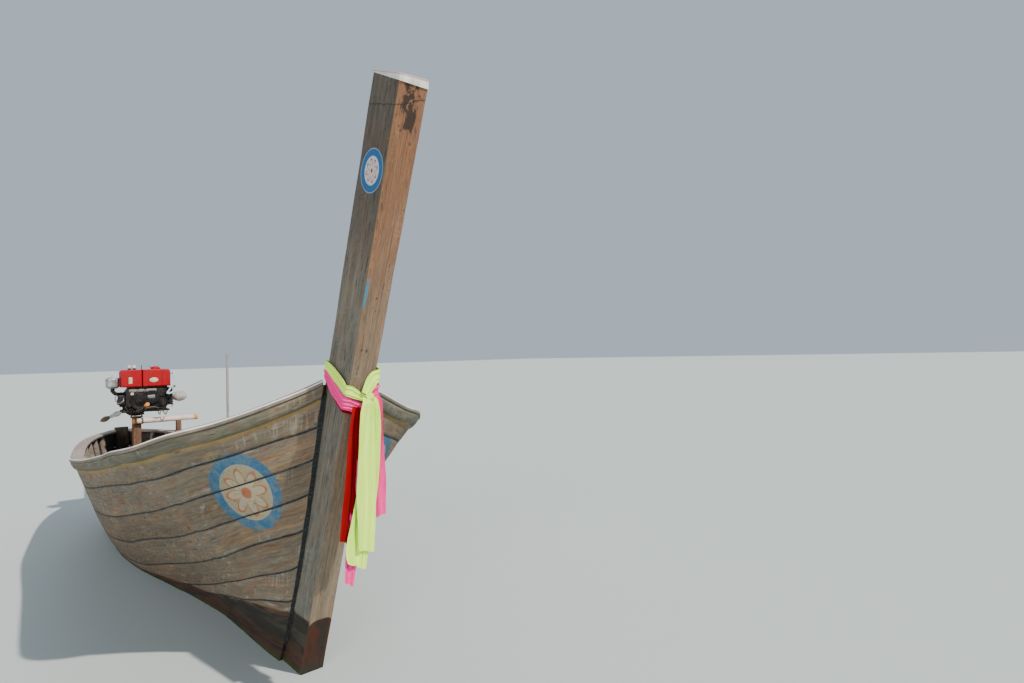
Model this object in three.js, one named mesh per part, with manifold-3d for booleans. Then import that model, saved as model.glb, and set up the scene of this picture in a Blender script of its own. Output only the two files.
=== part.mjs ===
// Wooden longtail boat, afloat. Millimetres, +X to the bow, +Y to port, +Z up.
// The origin is amidships on the centre line, at the water's surface.
import * as THREE from "three";
import { mergeVertices } from "three/addons/utils/BufferGeometryUtils.js";
import Module from "manifold-3d";

const wasm = await Module();
wasm.setup();
const V = (x, y, z) => new THREE.Vector3(x, y, z);
const { degToRad, lerp } = THREE.MathUtils;

// Driving dimensions of the hull
const STEM_FOOT_X = 2400; // the stem's front face at the waterline
const STEM_RAKE = 0.3876; // run forward for each unit of height
const STEM_TOP_FRONT_Z = 2925;
const STEM_TOP_REAR_Z = 3040;
const STEM_DEPTH = 265; // fore and aft, measured level
const STEM_TOP_WIDTH = 146;
const BACKBONE_HALF = 67; // half the width of stem, keel and sternpost
const KEEL_BOTTOM_Z = -330;
const KEEL_TOP_Z = -236;
const STERN_X = -2950; // after end of the rail
const PLANK_THICK = 24;
const SEAM_GAP = 5; // open seam between two planks, filled with caulk
const SEAT = 0.4; // gap between pieces that rest on each other
const CAP_THICK = 24;
const CAP_OUTSIDE = 26;
const CAP_INSIDE = 78;
const RUB_HEIGHT = 72;
const RUB_THICK = 22;

// Hull stations from bow to stern. Each section is a quadratic curve from keel to rail
// with one control point. Columns: rail x, y, z; keel x, z; control x, y, z.
const STATIONS = [
  { rail: [2800, 96, 1640], keel: [1950, -270], ctrl: [2300, 88, 50] },
  { rail: [2752, 187, 1594], keel: [1900, -270], ctrl: [2270, 80, 70] },
  { rail: [2695, 293, 1548], keel: [1850, -270], ctrl: [2240, 72, 100] },
  { rail: [2543, 528, 1454], keel: [1700, -270], ctrl: [2130, 52, 180] },
  { rail: [2410, 711, 1400], keel: [1570, -270], ctrl: [1990, 38, 240] },
  { rail: [2240, 812, 1340], keel: [1450, -270], ctrl: [1800, 32, 280] },
  { rail: [2020, 827, 1304], keel: [1280, -270], ctrl: [1620, 40, 285] },
  { rail: [1760, 822, 1268], keel: [1080, -270], ctrl: [1420, 56, 270] },
  { rail: [1430, 815, 1212], keel: [840, -270], ctrl: [1140, 105, 210] },
  { rail: [1100, 806, 1163], keel: [600, -270], ctrl: [880, 160, 145] },
  { rail: [750, 798, 1111], keel: [350, -270], ctrl: [580, 222, 66] },
  { rail: [400, 795, 1065], keel: [100, -270], ctrl: [280, 282, -6] },
  { rail: [50, 790, 1026], keel: [-175, -270], ctrl: [-40, 336, -82] },
  { rail: [-300, 776, 990], keel: [-450, -270], ctrl: [-360, 378, -136] },
  { rail: [-600, 746, 966], keel: [-725, -268], ctrl: [-650, 404, -166] },
  { rail: [-900, 706, 952], keel: [-1000, -266], ctrl: [-950, 414, -180] },
  { rail: [-1200, 662, 944], keel: [-1275, -263], ctrl: [-1230, 408, -184] },
  { rail: [-1500, 614, 940], keel: [-1550, -258], ctrl: [-1520, 388, -178] },
  { rail: [-1800, 556, 938], keel: [-1800, -250], ctrl: [-1800, 346, -158] },
  { rail: [-2100, 482, 938], keel: [-2050, -240], ctrl: [-2080, 290, -122] },
  { rail: [-2350, 400, 940], keel: [-2250, -228], ctrl: [-2310, 228, -80] },
  { rail: [-2580, 300, 942], keel: [-2430, -212], ctrl: [-2520, 168, -34] },
  { rail: [-2790, 180, 944], keel: [-2570, -192], ctrl: [-2690, 114, 40] },
  { rail: [STERN_X, 92, 946], keel: [-2680, -170], ctrl: [-2830, 92, 100] },
];
const LAST = STATIONS.length - 1;
const KEEL_SIDE_Y = 84; // outer corner of the lowest plank, beside the keel

// Plank seams, as shares of the section curve from keel to rail, at four places along
// the hull. Columns: bow, quarter, waist, stern.
const SEAM_AT = [0, 0.24, 0.5, 1];
const SEAMS = [
  { shares: [0, 0, 0, 0] },
  { shares: [0.32, 0.25, 0.12, 0.13] },
  { shares: [0.512, 0.4, 0.24, 0.26] },
  { shares: [0.612, 0.5, 0.345, 0.39] },
  { shares: [0.703, 0.62, 0.47, 0.52] },
  { shares: [0.782, 0.745, 0.62, 0.65] },
  { shares: [0.86, 0.845, 0.775, 0.77] },
  { shares: [0.925, 0.922, 0.89, 0.885] },
  { shares: [1, 1, 1, 1] },
];
const SHEER = SEAMS.length - 1;

// Colours of the finishes
const WOOD = { color: 0x9c8a78, roughness: 0.85, metalness: 0 };
const WOOD_PALE = { color: 0xb8a79c, roughness: 0.8, metalness: 0 };
const WOOD_DARK = { color: 0x6f5640, roughness: 0.9, metalness: 0 };
const RED_PAINT = { color: 0xc01820, roughness: 0.35, metalness: 0.1 };
const BLACK_IRON = { color: 0x232323, roughness: 0.6, metalness: 0.4 };
const STEEL = { color: 0x9a9a98, roughness: 0.45, metalness: 0.8 };
const RUST = { color: 0x6a4a38, roughness: 0.8, metalness: 0.4 };
const PINK_POLE = { color: 0xd8bfb2, roughness: 0.7, metalness: 0 };
const PALE_BLUE = { color: 0xbfd8e0, roughness: 0.4, metalness: 0 };
const BRONZE = { color: 0x8a7a58, roughness: 0.5, metalness: 0.7 };
const LIME = { color: 0xd2f06a, roughness: 0.8, metalness: 0 };
const PINK = { color: 0xf0408c, roughness: 0.8, metalness: 0 };
const RED_CLOTH = { color: 0xc41226, roughness: 0.8, metalness: 0 };

const boat = new THREE.Group();

// Adds one piece, named, to the boat or to a group of the boat
function piece(name, geometry, finish, parent = boat) {
  const mesh = new THREE.Mesh(geometry, new THREE.MeshStandardMaterial(finish));
  mesh.name = name;
  parent.add(mesh);
  return mesh;
}

// Volume inside a triangle mesh, negative when its faces point in
function signedVolume(points, faces) {
  let total = 0;
  for (const [a, b, c] of faces) {
    total += points[a].dot(points[b].clone().cross(points[c]));
  }
  return total / 6;
}

// Closed solid through a row of closed loops that all have as many points
function loft(loops) {
  const count = loops[0].length;
  const points = loops.flat();
  const faces = [];
  for (let row = 0; row < loops.length - 1; row += 1) {
    for (let k = 0; k < count; k += 1) {
      const a = row * count + k;
      const b = row * count + ((k + 1) % count);
      faces.push([a, b, b + count], [a, b + count, a + count]);
    }
  }
  const end = (loops.length - 1) * count;
  for (let k = 1; k < count - 1; k += 1) {
    faces.push([0, k + 1, k], [end, end + k, end + k + 1]);
  }
  const out = signedVolume(points, faces) > 0;
  const geometry = new THREE.BufferGeometry().setFromPoints(points);
  geometry.setIndex(faces.flatMap(([a, b, c]) => (out ? [a, b, c] : [a, c, b])));
  geometry.computeVertexNormals();
  return geometry;
}

// Manifold solid of a geometry, and back
function solidOf(geometry) {
  const plain = geometry.clone();
  plain.deleteAttribute("normal");
  plain.deleteAttribute("uv");
  const merged = mergeVertices(plain, 0.001);
  return new wasm.Manifold(
    new wasm.Mesh({
      numProp: 3,
      vertProperties: new Float32Array(merged.attributes.position.array),
      triVerts: new Uint32Array(merged.index.array),
    }),
  );
}

function geometryOf(solid) {
  const mesh = solid.getMesh();
  const geometry = new THREE.BufferGeometry();
  geometry.setAttribute("position", new THREE.BufferAttribute(new Float32Array(mesh.vertProperties), 3));
  geometry.setIndex(Array.from(mesh.triVerts));
  geometry.computeVertexNormals();
  return geometry;
}

function join(geometries) {
  return geometryOf(geometries.map(solidOf).reduce((all, next) => all.add(next)));
}

function cut(geometry, tools) {
  return geometryOf(tools.map(solidOf).reduce((rest, tool) => rest.subtract(tool), solidOf(geometry)));
}

// Box between two corners
function boxBetween([x0, y0, z0], [x1, y1, z1]) {
  const box = new THREE.BoxGeometry(Math.abs(x1 - x0), Math.abs(y1 - y0), Math.abs(z1 - z0));
  return box.translate((x0 + x1) / 2, (y0 + y1) / 2, (z0 + z1) / 2);
}

// Round bar or cone between two points
function bar(from, to, radiusFrom, radiusTo = radiusFrom, sides = 14) {
  const along = to.clone().sub(from);
  const rod = new THREE.CylinderGeometry(radiusTo, radiusFrom, along.length(), sides);
  const turn = new THREE.Quaternion().setFromUnitVectors(V(0, 1, 0), along.normalize());
  rod.applyQuaternion(turn);
  const middle = from.clone().add(to).multiplyScalar(0.5);
  return rod.translate(middle.x, middle.y, middle.z);
}

// Round tube along a smooth route
function tube(route, radius, steps = 16, sides = 10) {
  const outline = new THREE.Shape();
  outline.absarc(0, 0, radius, 0, Math.PI * 2);
  return new THREE.ExtrudeGeometry(outline, {
    steps,
    curveSegments: sides / 2,
    extrudePath: new THREE.CatmullRomCurve3(route),
  });
}

// Solid of a side outline in X and Z, as wide as given, with its middle on the centre line
function slab(outline, width) {
  const shape = new THREE.Shape(outline.map(([x, z]) => new THREE.Vector2(x, z)));
  const geometry = new THREE.ExtrudeGeometry(shape, { depth: width, bevelEnabled: false });
  return geometry.rotateX(Math.PI / 2).translate(0, width / 2, 0);
}

// Hull surface
function seamShare(seam, station) {
  const t = station / LAST;
  const { shares } = SEAMS[seam];
  for (let k = 1; k < SEAM_AT.length; k += 1) {
    if (t <= SEAM_AT[k] + 1e-9) {
      const f = (t - SEAM_AT[k - 1]) / (SEAM_AT[k] - SEAM_AT[k - 1]);
      return lerp(shares[k - 1], shares[k], f);
    }
  }
  return shares[shares.length - 1];
}

function sectionPoint(station, share) {
  const { rail, keel, ctrl } = STATIONS[station];
  const [a, b, c] = [(1 - share) ** 2, 2 * share * (1 - share), share ** 2];
  return V(
    a * keel[0] + b * ctrl[0] + c * rail[0],
    a * KEEL_SIDE_Y + b * ctrl[1] + c * rail[1],
    a * keel[1] + b * ctrl[2] + c * (rail[2] - CAP_THICK - SEAT),
  );
}

// Outward direction of the hull's side at a station
function outward(station, share) {
  const ahead = sectionPoint(Math.max(station - 1, 0), share);
  const astern = sectionPoint(Math.min(station + 1, LAST), share);
  const above = sectionPoint(station, Math.min(share + 0.04, 1));
  const below = sectionPoint(station, Math.max(share - 0.04, 0));
  const out = astern.sub(ahead).cross(above.sub(below)).normalize();
  return out.y < 0 ? out.negate() : out;
}

// Point on the hull at a station, some way in from the outer face of the planking.
// Plank ends and the lowest edge turn in to lie against the stem, keel and sternpost.
function hullPoint(station, share, depth = 0) {
  const at = sectionPoint(station, share);
  const out = outward(station, share);
  const lean = share === 1 ? Math.hypot(out.x, out.y) : 1;
  if (share === 1) out.setZ(0).normalize();
  at.addScaledVector(out, -depth / lean);
  if (depth > 0 && depth <= PLANK_THICK) {
    const ending = station === 0 || station === LAST || share === 0;
    at.y = ending ? BACKBONE_HALF + SEAT : Math.max(at.y, BACKBONE_HALF + SEAT);
  }
  return at;
}

// Starboard lies at negative Y
const SIDES = [
  { name: "starboard", sign: -1 },
  { name: "port", sign: 1 },
];
const mirrored = (points, sign) => points.map((p) => V(p.x, p.y * sign, p.z));

// Where the rub rail's lower edge lies on the top plank
function rubFoot(station) {
  const under = hullPoint(station, seamShare(SHEER - 1, station));
  const rim = hullPoint(station, 1);
  return rim.clone().lerp(under, RUB_HEIGHT / under.distanceTo(rim));
}

// Planks from keel to rail on each side
function plank(seam, sign) {
  const loops = STATIONS.map((row, station) => {
    const [low, high] = [seamShare(seam, station), seamShare(seam + 1, station)];
    const girth = hullPoint(station, low).distanceTo(hullPoint(station, high));
    const trim = ((SEAM_GAP / 2) * (high - low)) / girth;
    const bottom = seam === 0 ? low : low + trim;
    const top = seam + 1 === SHEER ? high : high - trim;
    const loop = [
      hullPoint(station, bottom),
      hullPoint(station, top),
      hullPoint(station, top, PLANK_THICK),
      hullPoint(station, bottom, PLANK_THICK),
    ];
    if (seam + 1 === SHEER) loop.splice(1, 0, rubFoot(station));
    return mirrored(loop, sign);
  });
  return loft(loops);
}
for (const { name, sign } of SIDES) {
  for (let seam = 0; seam < SHEER; seam += 1) {
    piece(`plank_${seam + 1}_${name}`, plank(seam, sign), WOOD);
  }
}

// Rub rail round the outside of the top plank, and the cap over both
function rubRail(sign) {
  const loops = STATIONS.map((row, station) => {
    const out = outward(station, 1).setZ(0).normalize();
    const [high, low] = [hullPoint(station, 1), rubFoot(station)];
    const step = (point, away) => point.clone().addScaledVector(out, away);
    const loop = [step(low, SEAT), step(high, SEAT), step(high, RUB_THICK), step(low, RUB_THICK * 0.8)];
    return mirrored(loop, sign);
  });
  return loft(loops);
}

function railCap(sign) {
  const loops = STATIONS.map((row, station) => {
    const rim = hullPoint(station, 1);
    const out = outward(station, 1).setZ(0).normalize();
    const outer = rim.clone().addScaledVector(out, CAP_OUTSIDE);
    const inner = rim.clone().addScaledVector(out, -CAP_INSIDE);
    inner.y = Math.max(inner.y, BACKBONE_HALF + SEAT + 3);
    const [low, high] = [rim.z + SEAT, rim.z + SEAT + CAP_THICK];
    const loop = [V(outer.x, outer.y, low), V(outer.x, outer.y, high), V(inner.x, inner.y, high),
      V(inner.x, inner.y, low)];
    return mirrored(loop, sign);
  });
  return loft(loops);
}
for (const { name, sign } of SIDES) {
  piece(`rub_rail_${name}`, rubRail(sign), WOOD_PALE);
  piece(`rail_cap_${name}`, railCap(sign), WOOD_PALE);
}

// Stem post, raked forward and rising high above the bow
const stemFrontX = (z) => STEM_FOOT_X + STEM_RAKE * z;
const STEM_FLARE_Z = 1660; // the post widens above here
const KEEL_FRONT_X = 2030;
const FOREFOOT_X = 2290;
// Columns: x and z of the front edge, x and z of the rear edge, width
const STEM_LEVELS = [
  { front: [KEEL_FRONT_X + 60, KEEL_BOTTOM_Z], rear: [KEEL_FRONT_X, KEEL_BOTTOM_Z], width: BACKBONE_HALF * 2 },
  { front: [FOREFOOT_X, -190], rear: [KEEL_FRONT_X, KEEL_TOP_Z], width: BACKBONE_HALF * 2 },
  { front: [STEM_FOOT_X, 0], rear: [STEM_FOOT_X - STEM_DEPTH - 60, -40], width: BACKBONE_HALF * 2 },
  {
    front: [stemFrontX(STEM_FLARE_Z), STEM_FLARE_Z],
    rear: [stemFrontX(STEM_FLARE_Z) - STEM_DEPTH, STEM_FLARE_Z],
    width: BACKBONE_HALF * 2,
  },
  {
    front: [stemFrontX(STEM_TOP_FRONT_Z), STEM_TOP_FRONT_Z],
    rear: [stemFrontX(STEM_TOP_REAR_Z) - STEM_DEPTH, STEM_TOP_REAR_Z],
    width: STEM_TOP_WIDTH,
  },
];
function stemPost() {
  const loops = STEM_LEVELS.map(({ front, rear, width }) => {
    const half = width / 2;
    return [
      V(front[0], -half, front[1]),
      V(front[0], half, front[1]),
      V(rear[0], half, rear[1]),
      V(rear[0], -half, rear[1]),
    ];
  });
  return loft(loops);
}
piece("stem_post", stemPost(), WOOD);

// Keel timber under the planks, and the sternpost on its after end
const KEEL_END_X = -2560;
piece(
  "keel",
  slab(
    [
      [KEEL_FRONT_X - SEAT, KEEL_BOTTOM_Z],
      [KEEL_FRONT_X - SEAT, KEEL_TOP_Z],
      [-1900, KEEL_TOP_Z],
      [KEEL_END_X, -190],
      [KEEL_END_X, -270],
      [-2300, KEEL_BOTTOM_Z + 20],
      [-1900, KEEL_BOTTOM_Z],
    ],
    BACKBONE_HALF * 2,
  ),
  WOOD_DARK,
);
piece(
  "sternpost",
  slab(
    [
      [KEEL_END_X - SEAT, -270],
      [-2790, -120],
      [STERN_X - 40, 850],
      [STERN_X - 46, 972],
      [STERN_X + 40, 972],
      [STERN_X + 60, 850],
      [-2700, 0],
      [KEEL_END_X - SEAT, -190],
    ],
    BACKBONE_HALF * 2,
  ),
  WOOD,
);

// Frames: a rib at each of these stations on both sides, tied by a riser for the thwarts,
// and floor timbers across the keel under a keelson
const FIRST_RIB = 6;
const LAST_RIB = 21;
const RIB_HALF = 18;
const RIB_DEPTH = 36;
const RIB_OUT = PLANK_THICK + 2;
const RIB_TOP_GAP = 6;
const RIB_FOOT_GAP = 0.8;
const RIB_IN = RIB_OUT + RIB_DEPTH;
const KEELSON_TOP_Z = -104;
const KEELSON_LOW_Z = -162;
const KEELSON_HALF = 44;
const RISER_SEAM = 6;
const RISER_THICK = 22;

// Point on the planking a few millimetres ahead of or behind a station, at a seam's height
function besideStation(station, seam, depth, ahead) {
  const here = hullPoint(station, seamShare(seam, station), depth);
  const next = station - Math.sign(ahead);
  const there = hullPoint(next, seamShare(seam, next), depth);
  return here.lerp(there, Math.abs(ahead) / here.distanceTo(there));
}

function ribLoop(station, seam) {
  return [
    besideStation(station, seam, RIB_OUT, -RIB_HALF),
    besideStation(station, seam, RIB_OUT, RIB_HALF),
    besideStation(station, seam, RIB_IN, RIB_HALF),
    besideStation(station, seam, RIB_IN, -RIB_HALF),
  ];
}

// Draws the corners of one loop some way back towards the next
function drawBack(loop, next, distance) {
  for (const [k, corner] of loop.entries()) {
    corner.lerp(next[k], distance / corner.distanceTo(next[k]));
  }
}

function rib(station, sign) {
  const loops = [];
  for (let seam = 1; seam <= SHEER; seam += 1) loops.push(ribLoop(station, seam));
  drawBack(loops[0], loops[1], RIB_FOOT_GAP);
  drawBack(loops.at(-1), loops.at(-2), RIB_TOP_GAP);
  return loft(loops.map((loop) => mirrored(loop, sign)));
}

function floorTimber(station) {
  const loops = [-RIB_HALF, RIB_HALF].map((ahead) => {
    const low = besideStation(station, 1, RIB_OUT + 2, ahead);
    const high = besideStation(station, 1, RIB_IN, ahead);
    const heel = besideStation(station, 0, PLANK_THICK, ahead);
    const foot = V(heel.x, BACKBONE_HALF - 3, Math.max(KEEL_TOP_Z + SEAT, heel.z + 4));
    if (station > 18) foot.z = heel.z + 40;
    const crown = V(high.x, KEELSON_HALF, Math.max(high.z, KEELSON_LOW_Z + 12));
    const half = [foot, low, high, crown];
    return [...half, ...mirrored(half, -1).reverse()];
  });
  return loft(loops);
}

function riser(sign) {
  const loops = [];
  for (let station = FIRST_RIB; station <= LAST_RIB; station += 1) {
    const share = seamShare(RISER_SEAM, station);
    const loop = [
      hullPoint(station, share - 0.05, RIB_IN - 6),
      hullPoint(station, share, RIB_IN - 6),
      hullPoint(station, share, RIB_IN + RISER_THICK),
      hullPoint(station, share - 0.05, RIB_IN + RISER_THICK),
    ];
    loops.push(mirrored(loop, sign));
  }
  return loft(loops);
}

function ribs(sign) {
  const parts = [riser(sign)];
  for (let station = FIRST_RIB; station <= LAST_RIB; station += 1) parts.push(rib(station, sign));
  return join(parts);
}

function floorTimbers() {
  const parts = [boxBetween([1330, -KEELSON_HALF, KEELSON_LOW_Z], [-2470, KEELSON_HALF, KEELSON_TOP_Z])];
  for (let station = FIRST_RIB; station <= LAST_RIB; station += 1) parts.push(floorTimber(station));
  return join(parts);
}
for (const { name, sign } of SIDES) piece(`ribs_${name}`, ribs(sign), WOOD_PALE);
piece("floor_timbers", floorTimbers(), WOOD_PALE);

// Half the clear width inside the hull at a place along it and a height, measured to a
// depth in from the planking's outer face
function clearHalf(x, z, depth) {
  let before = null;
  for (let station = 0; station <= LAST; station += 1) {
    let [low, high] = [0.02, 0.999];
    for (let k = 0; k < 24; k += 1) {
      const middle = (low + high) / 2;
      if (hullPoint(station, middle, depth).z < z) low = middle;
      else high = middle;
    }
    const at = hullPoint(station, low, depth);
    if (before && at.x <= x && before.x > x) {
      return lerp(before.y, at.y, (before.x - x) / (before.x - at.x));
    }
    before = at;
  }
  return 0;
}

// Height of the riser's top at a place along the hull
function riserTop(x) {
  for (let station = FIRST_RIB; station < LAST_RIB; station += 1) {
    const depth = RIB_IN + RISER_THICK;
    const ahead = hullPoint(station, seamShare(RISER_SEAM, station), depth);
    const astern = hullPoint(station + 1, seamShare(RISER_SEAM, station + 1), depth);
    if (astern.x <= x && ahead.x >= x) {
      return lerp(astern.z, ahead.z, (x - astern.x) / (ahead.x - astern.x));
    }
  }
  return hullPoint(LAST_RIB, seamShare(RISER_SEAM, LAST_RIB), RIB_IN + RISER_THICK).z;
}

// Boards across the hull that rest on the risers. Columns: name, middle x, fore-and-aft
// width, thickness.
const THWARTS = [
  { name: "thwart_forward", x: 1010, width: 230, thick: 30 },
  { name: "thwart_middle", x: -240, width: 260, thick: 30 },
  { name: "thwart_after", x: -1420, width: 260, thick: 30 },
  { name: "stern_deck", x: -2480, width: 240, thick: 26 },
];
function thwart({ x, width, thick }) {
  const seat = Math.max(riserTop(x + width / 2), riserTop(x - width / 2)) + SEAT;
  const loops = [x + width / 2, x, x - width / 2].map((at) => {
    const low = clearHalf(at, seat - 4, RIB_IN + 3) - 4;
    const high = clearHalf(at, seat - 4 + thick, RIB_IN + 3) - 4;
    return [V(at, -low, seat), V(at, low, seat), V(at, high, seat + thick), V(at, -high, seat + thick)];
  });
  return loft(loops);
}
for (const row of THWARTS) piece(row.name, thwart(row), WOOD_PALE);

// Foredeck under the rail caps, from the stem's heel back to the first rib
const DECK_THICK = 22;
function foredeck() {
  const loops = [];
  for (let station = 2; station < FIRST_RIB; station += 1) {
    const rim = hullPoint(station, 1, PLANK_THICK + 2);
    const low = Math.min(rim.y, clearHalf(rim.x, rim.z - DECK_THICK, PLANK_THICK + 2)) - 8;
    loops.push([
      V(rim.x, -rim.y, rim.z),
      V(rim.x, rim.y, rim.z),
      V(rim.x, low, rim.z - DECK_THICK),
      V(rim.x, -low, rim.z - DECK_THICK),
    ]);
  }
  return loft(loops);
}
piece("foredeck", foredeck(), WOOD_PALE);

// Floorboards on cross battens that lie on the keelson
const BATTEN_THICK = 30;
const BOARD_LOW_Z = KEELSON_TOP_Z + SEAT + BATTEN_THICK - 1;
const BOARD_THICK = 20;
const FLOOR_FORE_X = 400;
const FLOOR_AFT_X = -1680;
const BOARD_WIDTH = 76;
const BOARD_GAP = 8;
const BATTEN_STEP = 500;
function floorboards() {
  const parts = [];
  for (const row of [-1, 0, 1]) {
    const middle = row * (BOARD_WIDTH + BOARD_GAP);
    parts.push(
      boxBetween(
        [FLOOR_FORE_X, middle - BOARD_WIDTH / 2, BOARD_LOW_Z],
        [FLOOR_AFT_X, middle + BOARD_WIDTH / 2, BOARD_LOW_Z + BOARD_THICK],
      ),
    );
  }
  for (let x = FLOOR_FORE_X - 50; x > FLOOR_AFT_X; x -= BATTEN_STEP) {
    parts.push(boxBetween([x - 30, -100, KEELSON_TOP_Z + SEAT], [x + 30, 100, BOARD_LOW_Z + 1]));
  }
  return join(parts);
}
piece("floorboards", floorboards(), WOOD_PALE);

// Engine post on the keelson, and the beam from its front over the port rail
const PIVOT_X = -2250;
const PIVOT_Y = 30;
const PIVOT_Z = 1168;
const POST_TOP_Z = 1128;
const POST_HALF = 40;
piece(
  "engine_post",
  boxBetween(
    [PIVOT_X - 45, PIVOT_Y - POST_HALF, KEELSON_TOP_Z + SEAT],
    [PIVOT_X + 45, PIVOT_Y + POST_HALF, POST_TOP_Z],
  ),
  WOOD_DARK,
);
const BEAM_X = -2174.6;
const BEAM_Z = 1092;
const BEAM_RADIUS = 30;
const BEAM_LEG_Y = 440;
const PORT_CAP_TOP_Z = 940;
function engineBeam() {
  const beam = bar(V(BEAM_X, -20, BEAM_Z), V(BEAM_X, 660, BEAM_Z), BEAM_RADIUS, BEAM_RADIUS, 18);
  const leg = boxBetween(
    [BEAM_X - 28, BEAM_LEG_Y - 28, PORT_CAP_TOP_Z + SEAT + 1],
    [BEAM_X + 28, BEAM_LEG_Y + 28, BEAM_Z - 5],
  );
  return join([beam, leg]);
}
piece("engine_beam", engineBeam(), PINK_POLE);

// Thin upright pole on the port rail
const POLE_X = -1100;
const POLE_Y = 655;
const POLE_FOOT_Z = 947.3;
piece("upright_pole", bar(V(POLE_X, POLE_Y, POLE_FOOT_Z), V(POLE_X, POLE_Y, 1830), 13, 12, 12), STEEL);

// Engine group: its own origin is the tilt pin, turned as it was left standing
const ENGINE_YAW = degToRad(-5.3);
const engine = new THREE.Group();
engine.position.set(PIVOT_X, PIVOT_Y, PIVOT_Z);
engine.rotation.z = ENGINE_YAW;
boat.add(engine);

const YOKE_RADIUS = 52;
const EAR_HALF = 22;
const EAR_IN_Y = 46;
const EAR_OUT_Y = 58;
const YOKE_BASE_Z = POST_TOP_Z - PIVOT_Z + SEAT;
const PIN_RADIUS = 9;
const PIN_PLAY = 0.5;
function swivelYoke() {
  const base = new THREE.CylinderGeometry(YOKE_RADIUS + 10, YOKE_RADIUS + 10, 12, 24);
  base.rotateX(Math.PI / 2).translate(0, 0, YOKE_BASE_Z + 6);
  const parts = [base];
  for (const sign of [-1, 1]) {
    const [near, far] = [sign * EAR_IN_Y, sign * EAR_OUT_Y];
    parts.push(boxBetween([-EAR_HALF, near, YOKE_BASE_Z + 6], [EAR_HALF, far, 0]));
    parts.push(bar(V(0, near, 0), V(0, far, 0), EAR_HALF, EAR_HALF, 20));
  }
  const hole = bar(V(0, -EAR_OUT_Y - 5, 0), V(0, EAR_OUT_Y + 5, 0), PIN_RADIUS + PIN_PLAY, PIN_RADIUS + PIN_PLAY, 24);
  return cut(join(parts), [hole]);
}
piece("swivel_yoke", swivelYoke(), RUST, engine);

// Engine bed: steel bearers on a lug between the yoke's ears, with the tilt pin through them
const BED_LOW_Z = 28;
const BED_TOP_Z = 48;
function engineBed() {
  const parts = [
    boxBetween([-18, -40, 0], [18, 40, BED_LOW_Z + 5]),
    bar(V(0, -40, 0), V(0, 40, 0), 18, 18, 20),
    bar(V(0, -EAR_OUT_Y - 8, 0), V(0, EAR_OUT_Y + 8, 0), PIN_RADIUS, PIN_RADIUS, 24),
  ];
  for (const x of [-120, 100]) {
    parts.push(boxBetween([x - 22, -150, BED_LOW_Z], [x + 22, 314, BED_TOP_Z]));
  }
  for (const y of [0, 215]) {
    parts.push(boxBetween([-142, y - 45, BED_LOW_Z], [150, y + 45, BED_TOP_Z - 2]));
  }
  return join(parts);
}
piece("engine_bed", engineBed(), BLACK_IRON, engine);

// Crankcase with its gear cover, feet, pump and hand holes
const CASE_AFT_X = -150;
const CASE_FORE_X = 120;
const CASE_TOP_Z = 310;
const CASE_PORT_Y = 294;
const CASE_STARBOARD_Y = -109;
const CRANK_Z = 95;
function crankcase() {
  const low = BED_TOP_Z + SEAT;
  const outline = new THREE.Shape(
    [
      [-90, low],
      [268, low],
      [CASE_PORT_Y, low + 40],
      [CASE_PORT_Y, CASE_TOP_Z],
      [-75, CASE_TOP_Z],
      [CASE_STARBOARD_Y, CASE_TOP_Z - 60],
      [CASE_STARBOARD_Y, low + 40],
    ].map(([y, z]) => new THREE.Vector2(y, z)),
  );
  const body = new THREE.ExtrudeGeometry(outline, { depth: CASE_FORE_X - CASE_AFT_X, bevelEnabled: false });
  // the outline's axes become Y and Z, and its depth becomes X
  body.applyMatrix4(new THREE.Matrix4().makeBasis(V(0, 1, 0), V(0, 0, 1), V(1, 0, 0)));
  body.translate(CASE_AFT_X, 0, 0);
  const parts = [body];
  const covers = [
    { y: 20, z: 150, radius: 95, out: 26 },
    { y: 140, z: 190, radius: 78, out: 20 },
    { y: 20, z: 150, radius: 44, out: 40 },
    { y: 245, z: 110, radius: 30, out: 24 },
    { y: -80, z: 110, radius: 24, out: 30 },
  ];
  for (const { y, z, radius, out } of covers) {
    parts.push(bar(V(CASE_FORE_X - 5, y, z), V(CASE_FORE_X + out, y, z), radius, radius - 4, 20));
  }
  parts.push(boxBetween([20, -182, 120], [90, CASE_STARBOARD_Y + 5, 215]));
  parts.push(boxBetween([-60, -160, 90], [10, CASE_STARBOARD_Y + 5, 180]));
  parts.push(boxBetween([CASE_FORE_X - 5, 190, 200], [CASE_FORE_X + 14, 286, 285]));
  return join(parts);
}
piece("crankcase", crankcase(), BLACK_IRON, engine);

// Cylinder head on the port end
const HEAD_FACE_Y = 350;
function cylinderHead() {
  const parts = [boxBetween([-90, CASE_PORT_Y + SEAT, 90], [90, HEAD_FACE_Y, 290])];
  parts.push(bar(V(0, HEAD_FACE_Y - 2, 130), V(0, HEAD_FACE_Y + 4, 130), 40, 36, 16));
  for (const z of [120, 165, 210, 255]) {
    parts.push(boxBetween([-98, 304, z], [98, 343, z + 8]));
  }
  return join(parts);
}
piece("cylinder_head", cylinderHead(), BLACK_IRON, engine);

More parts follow.
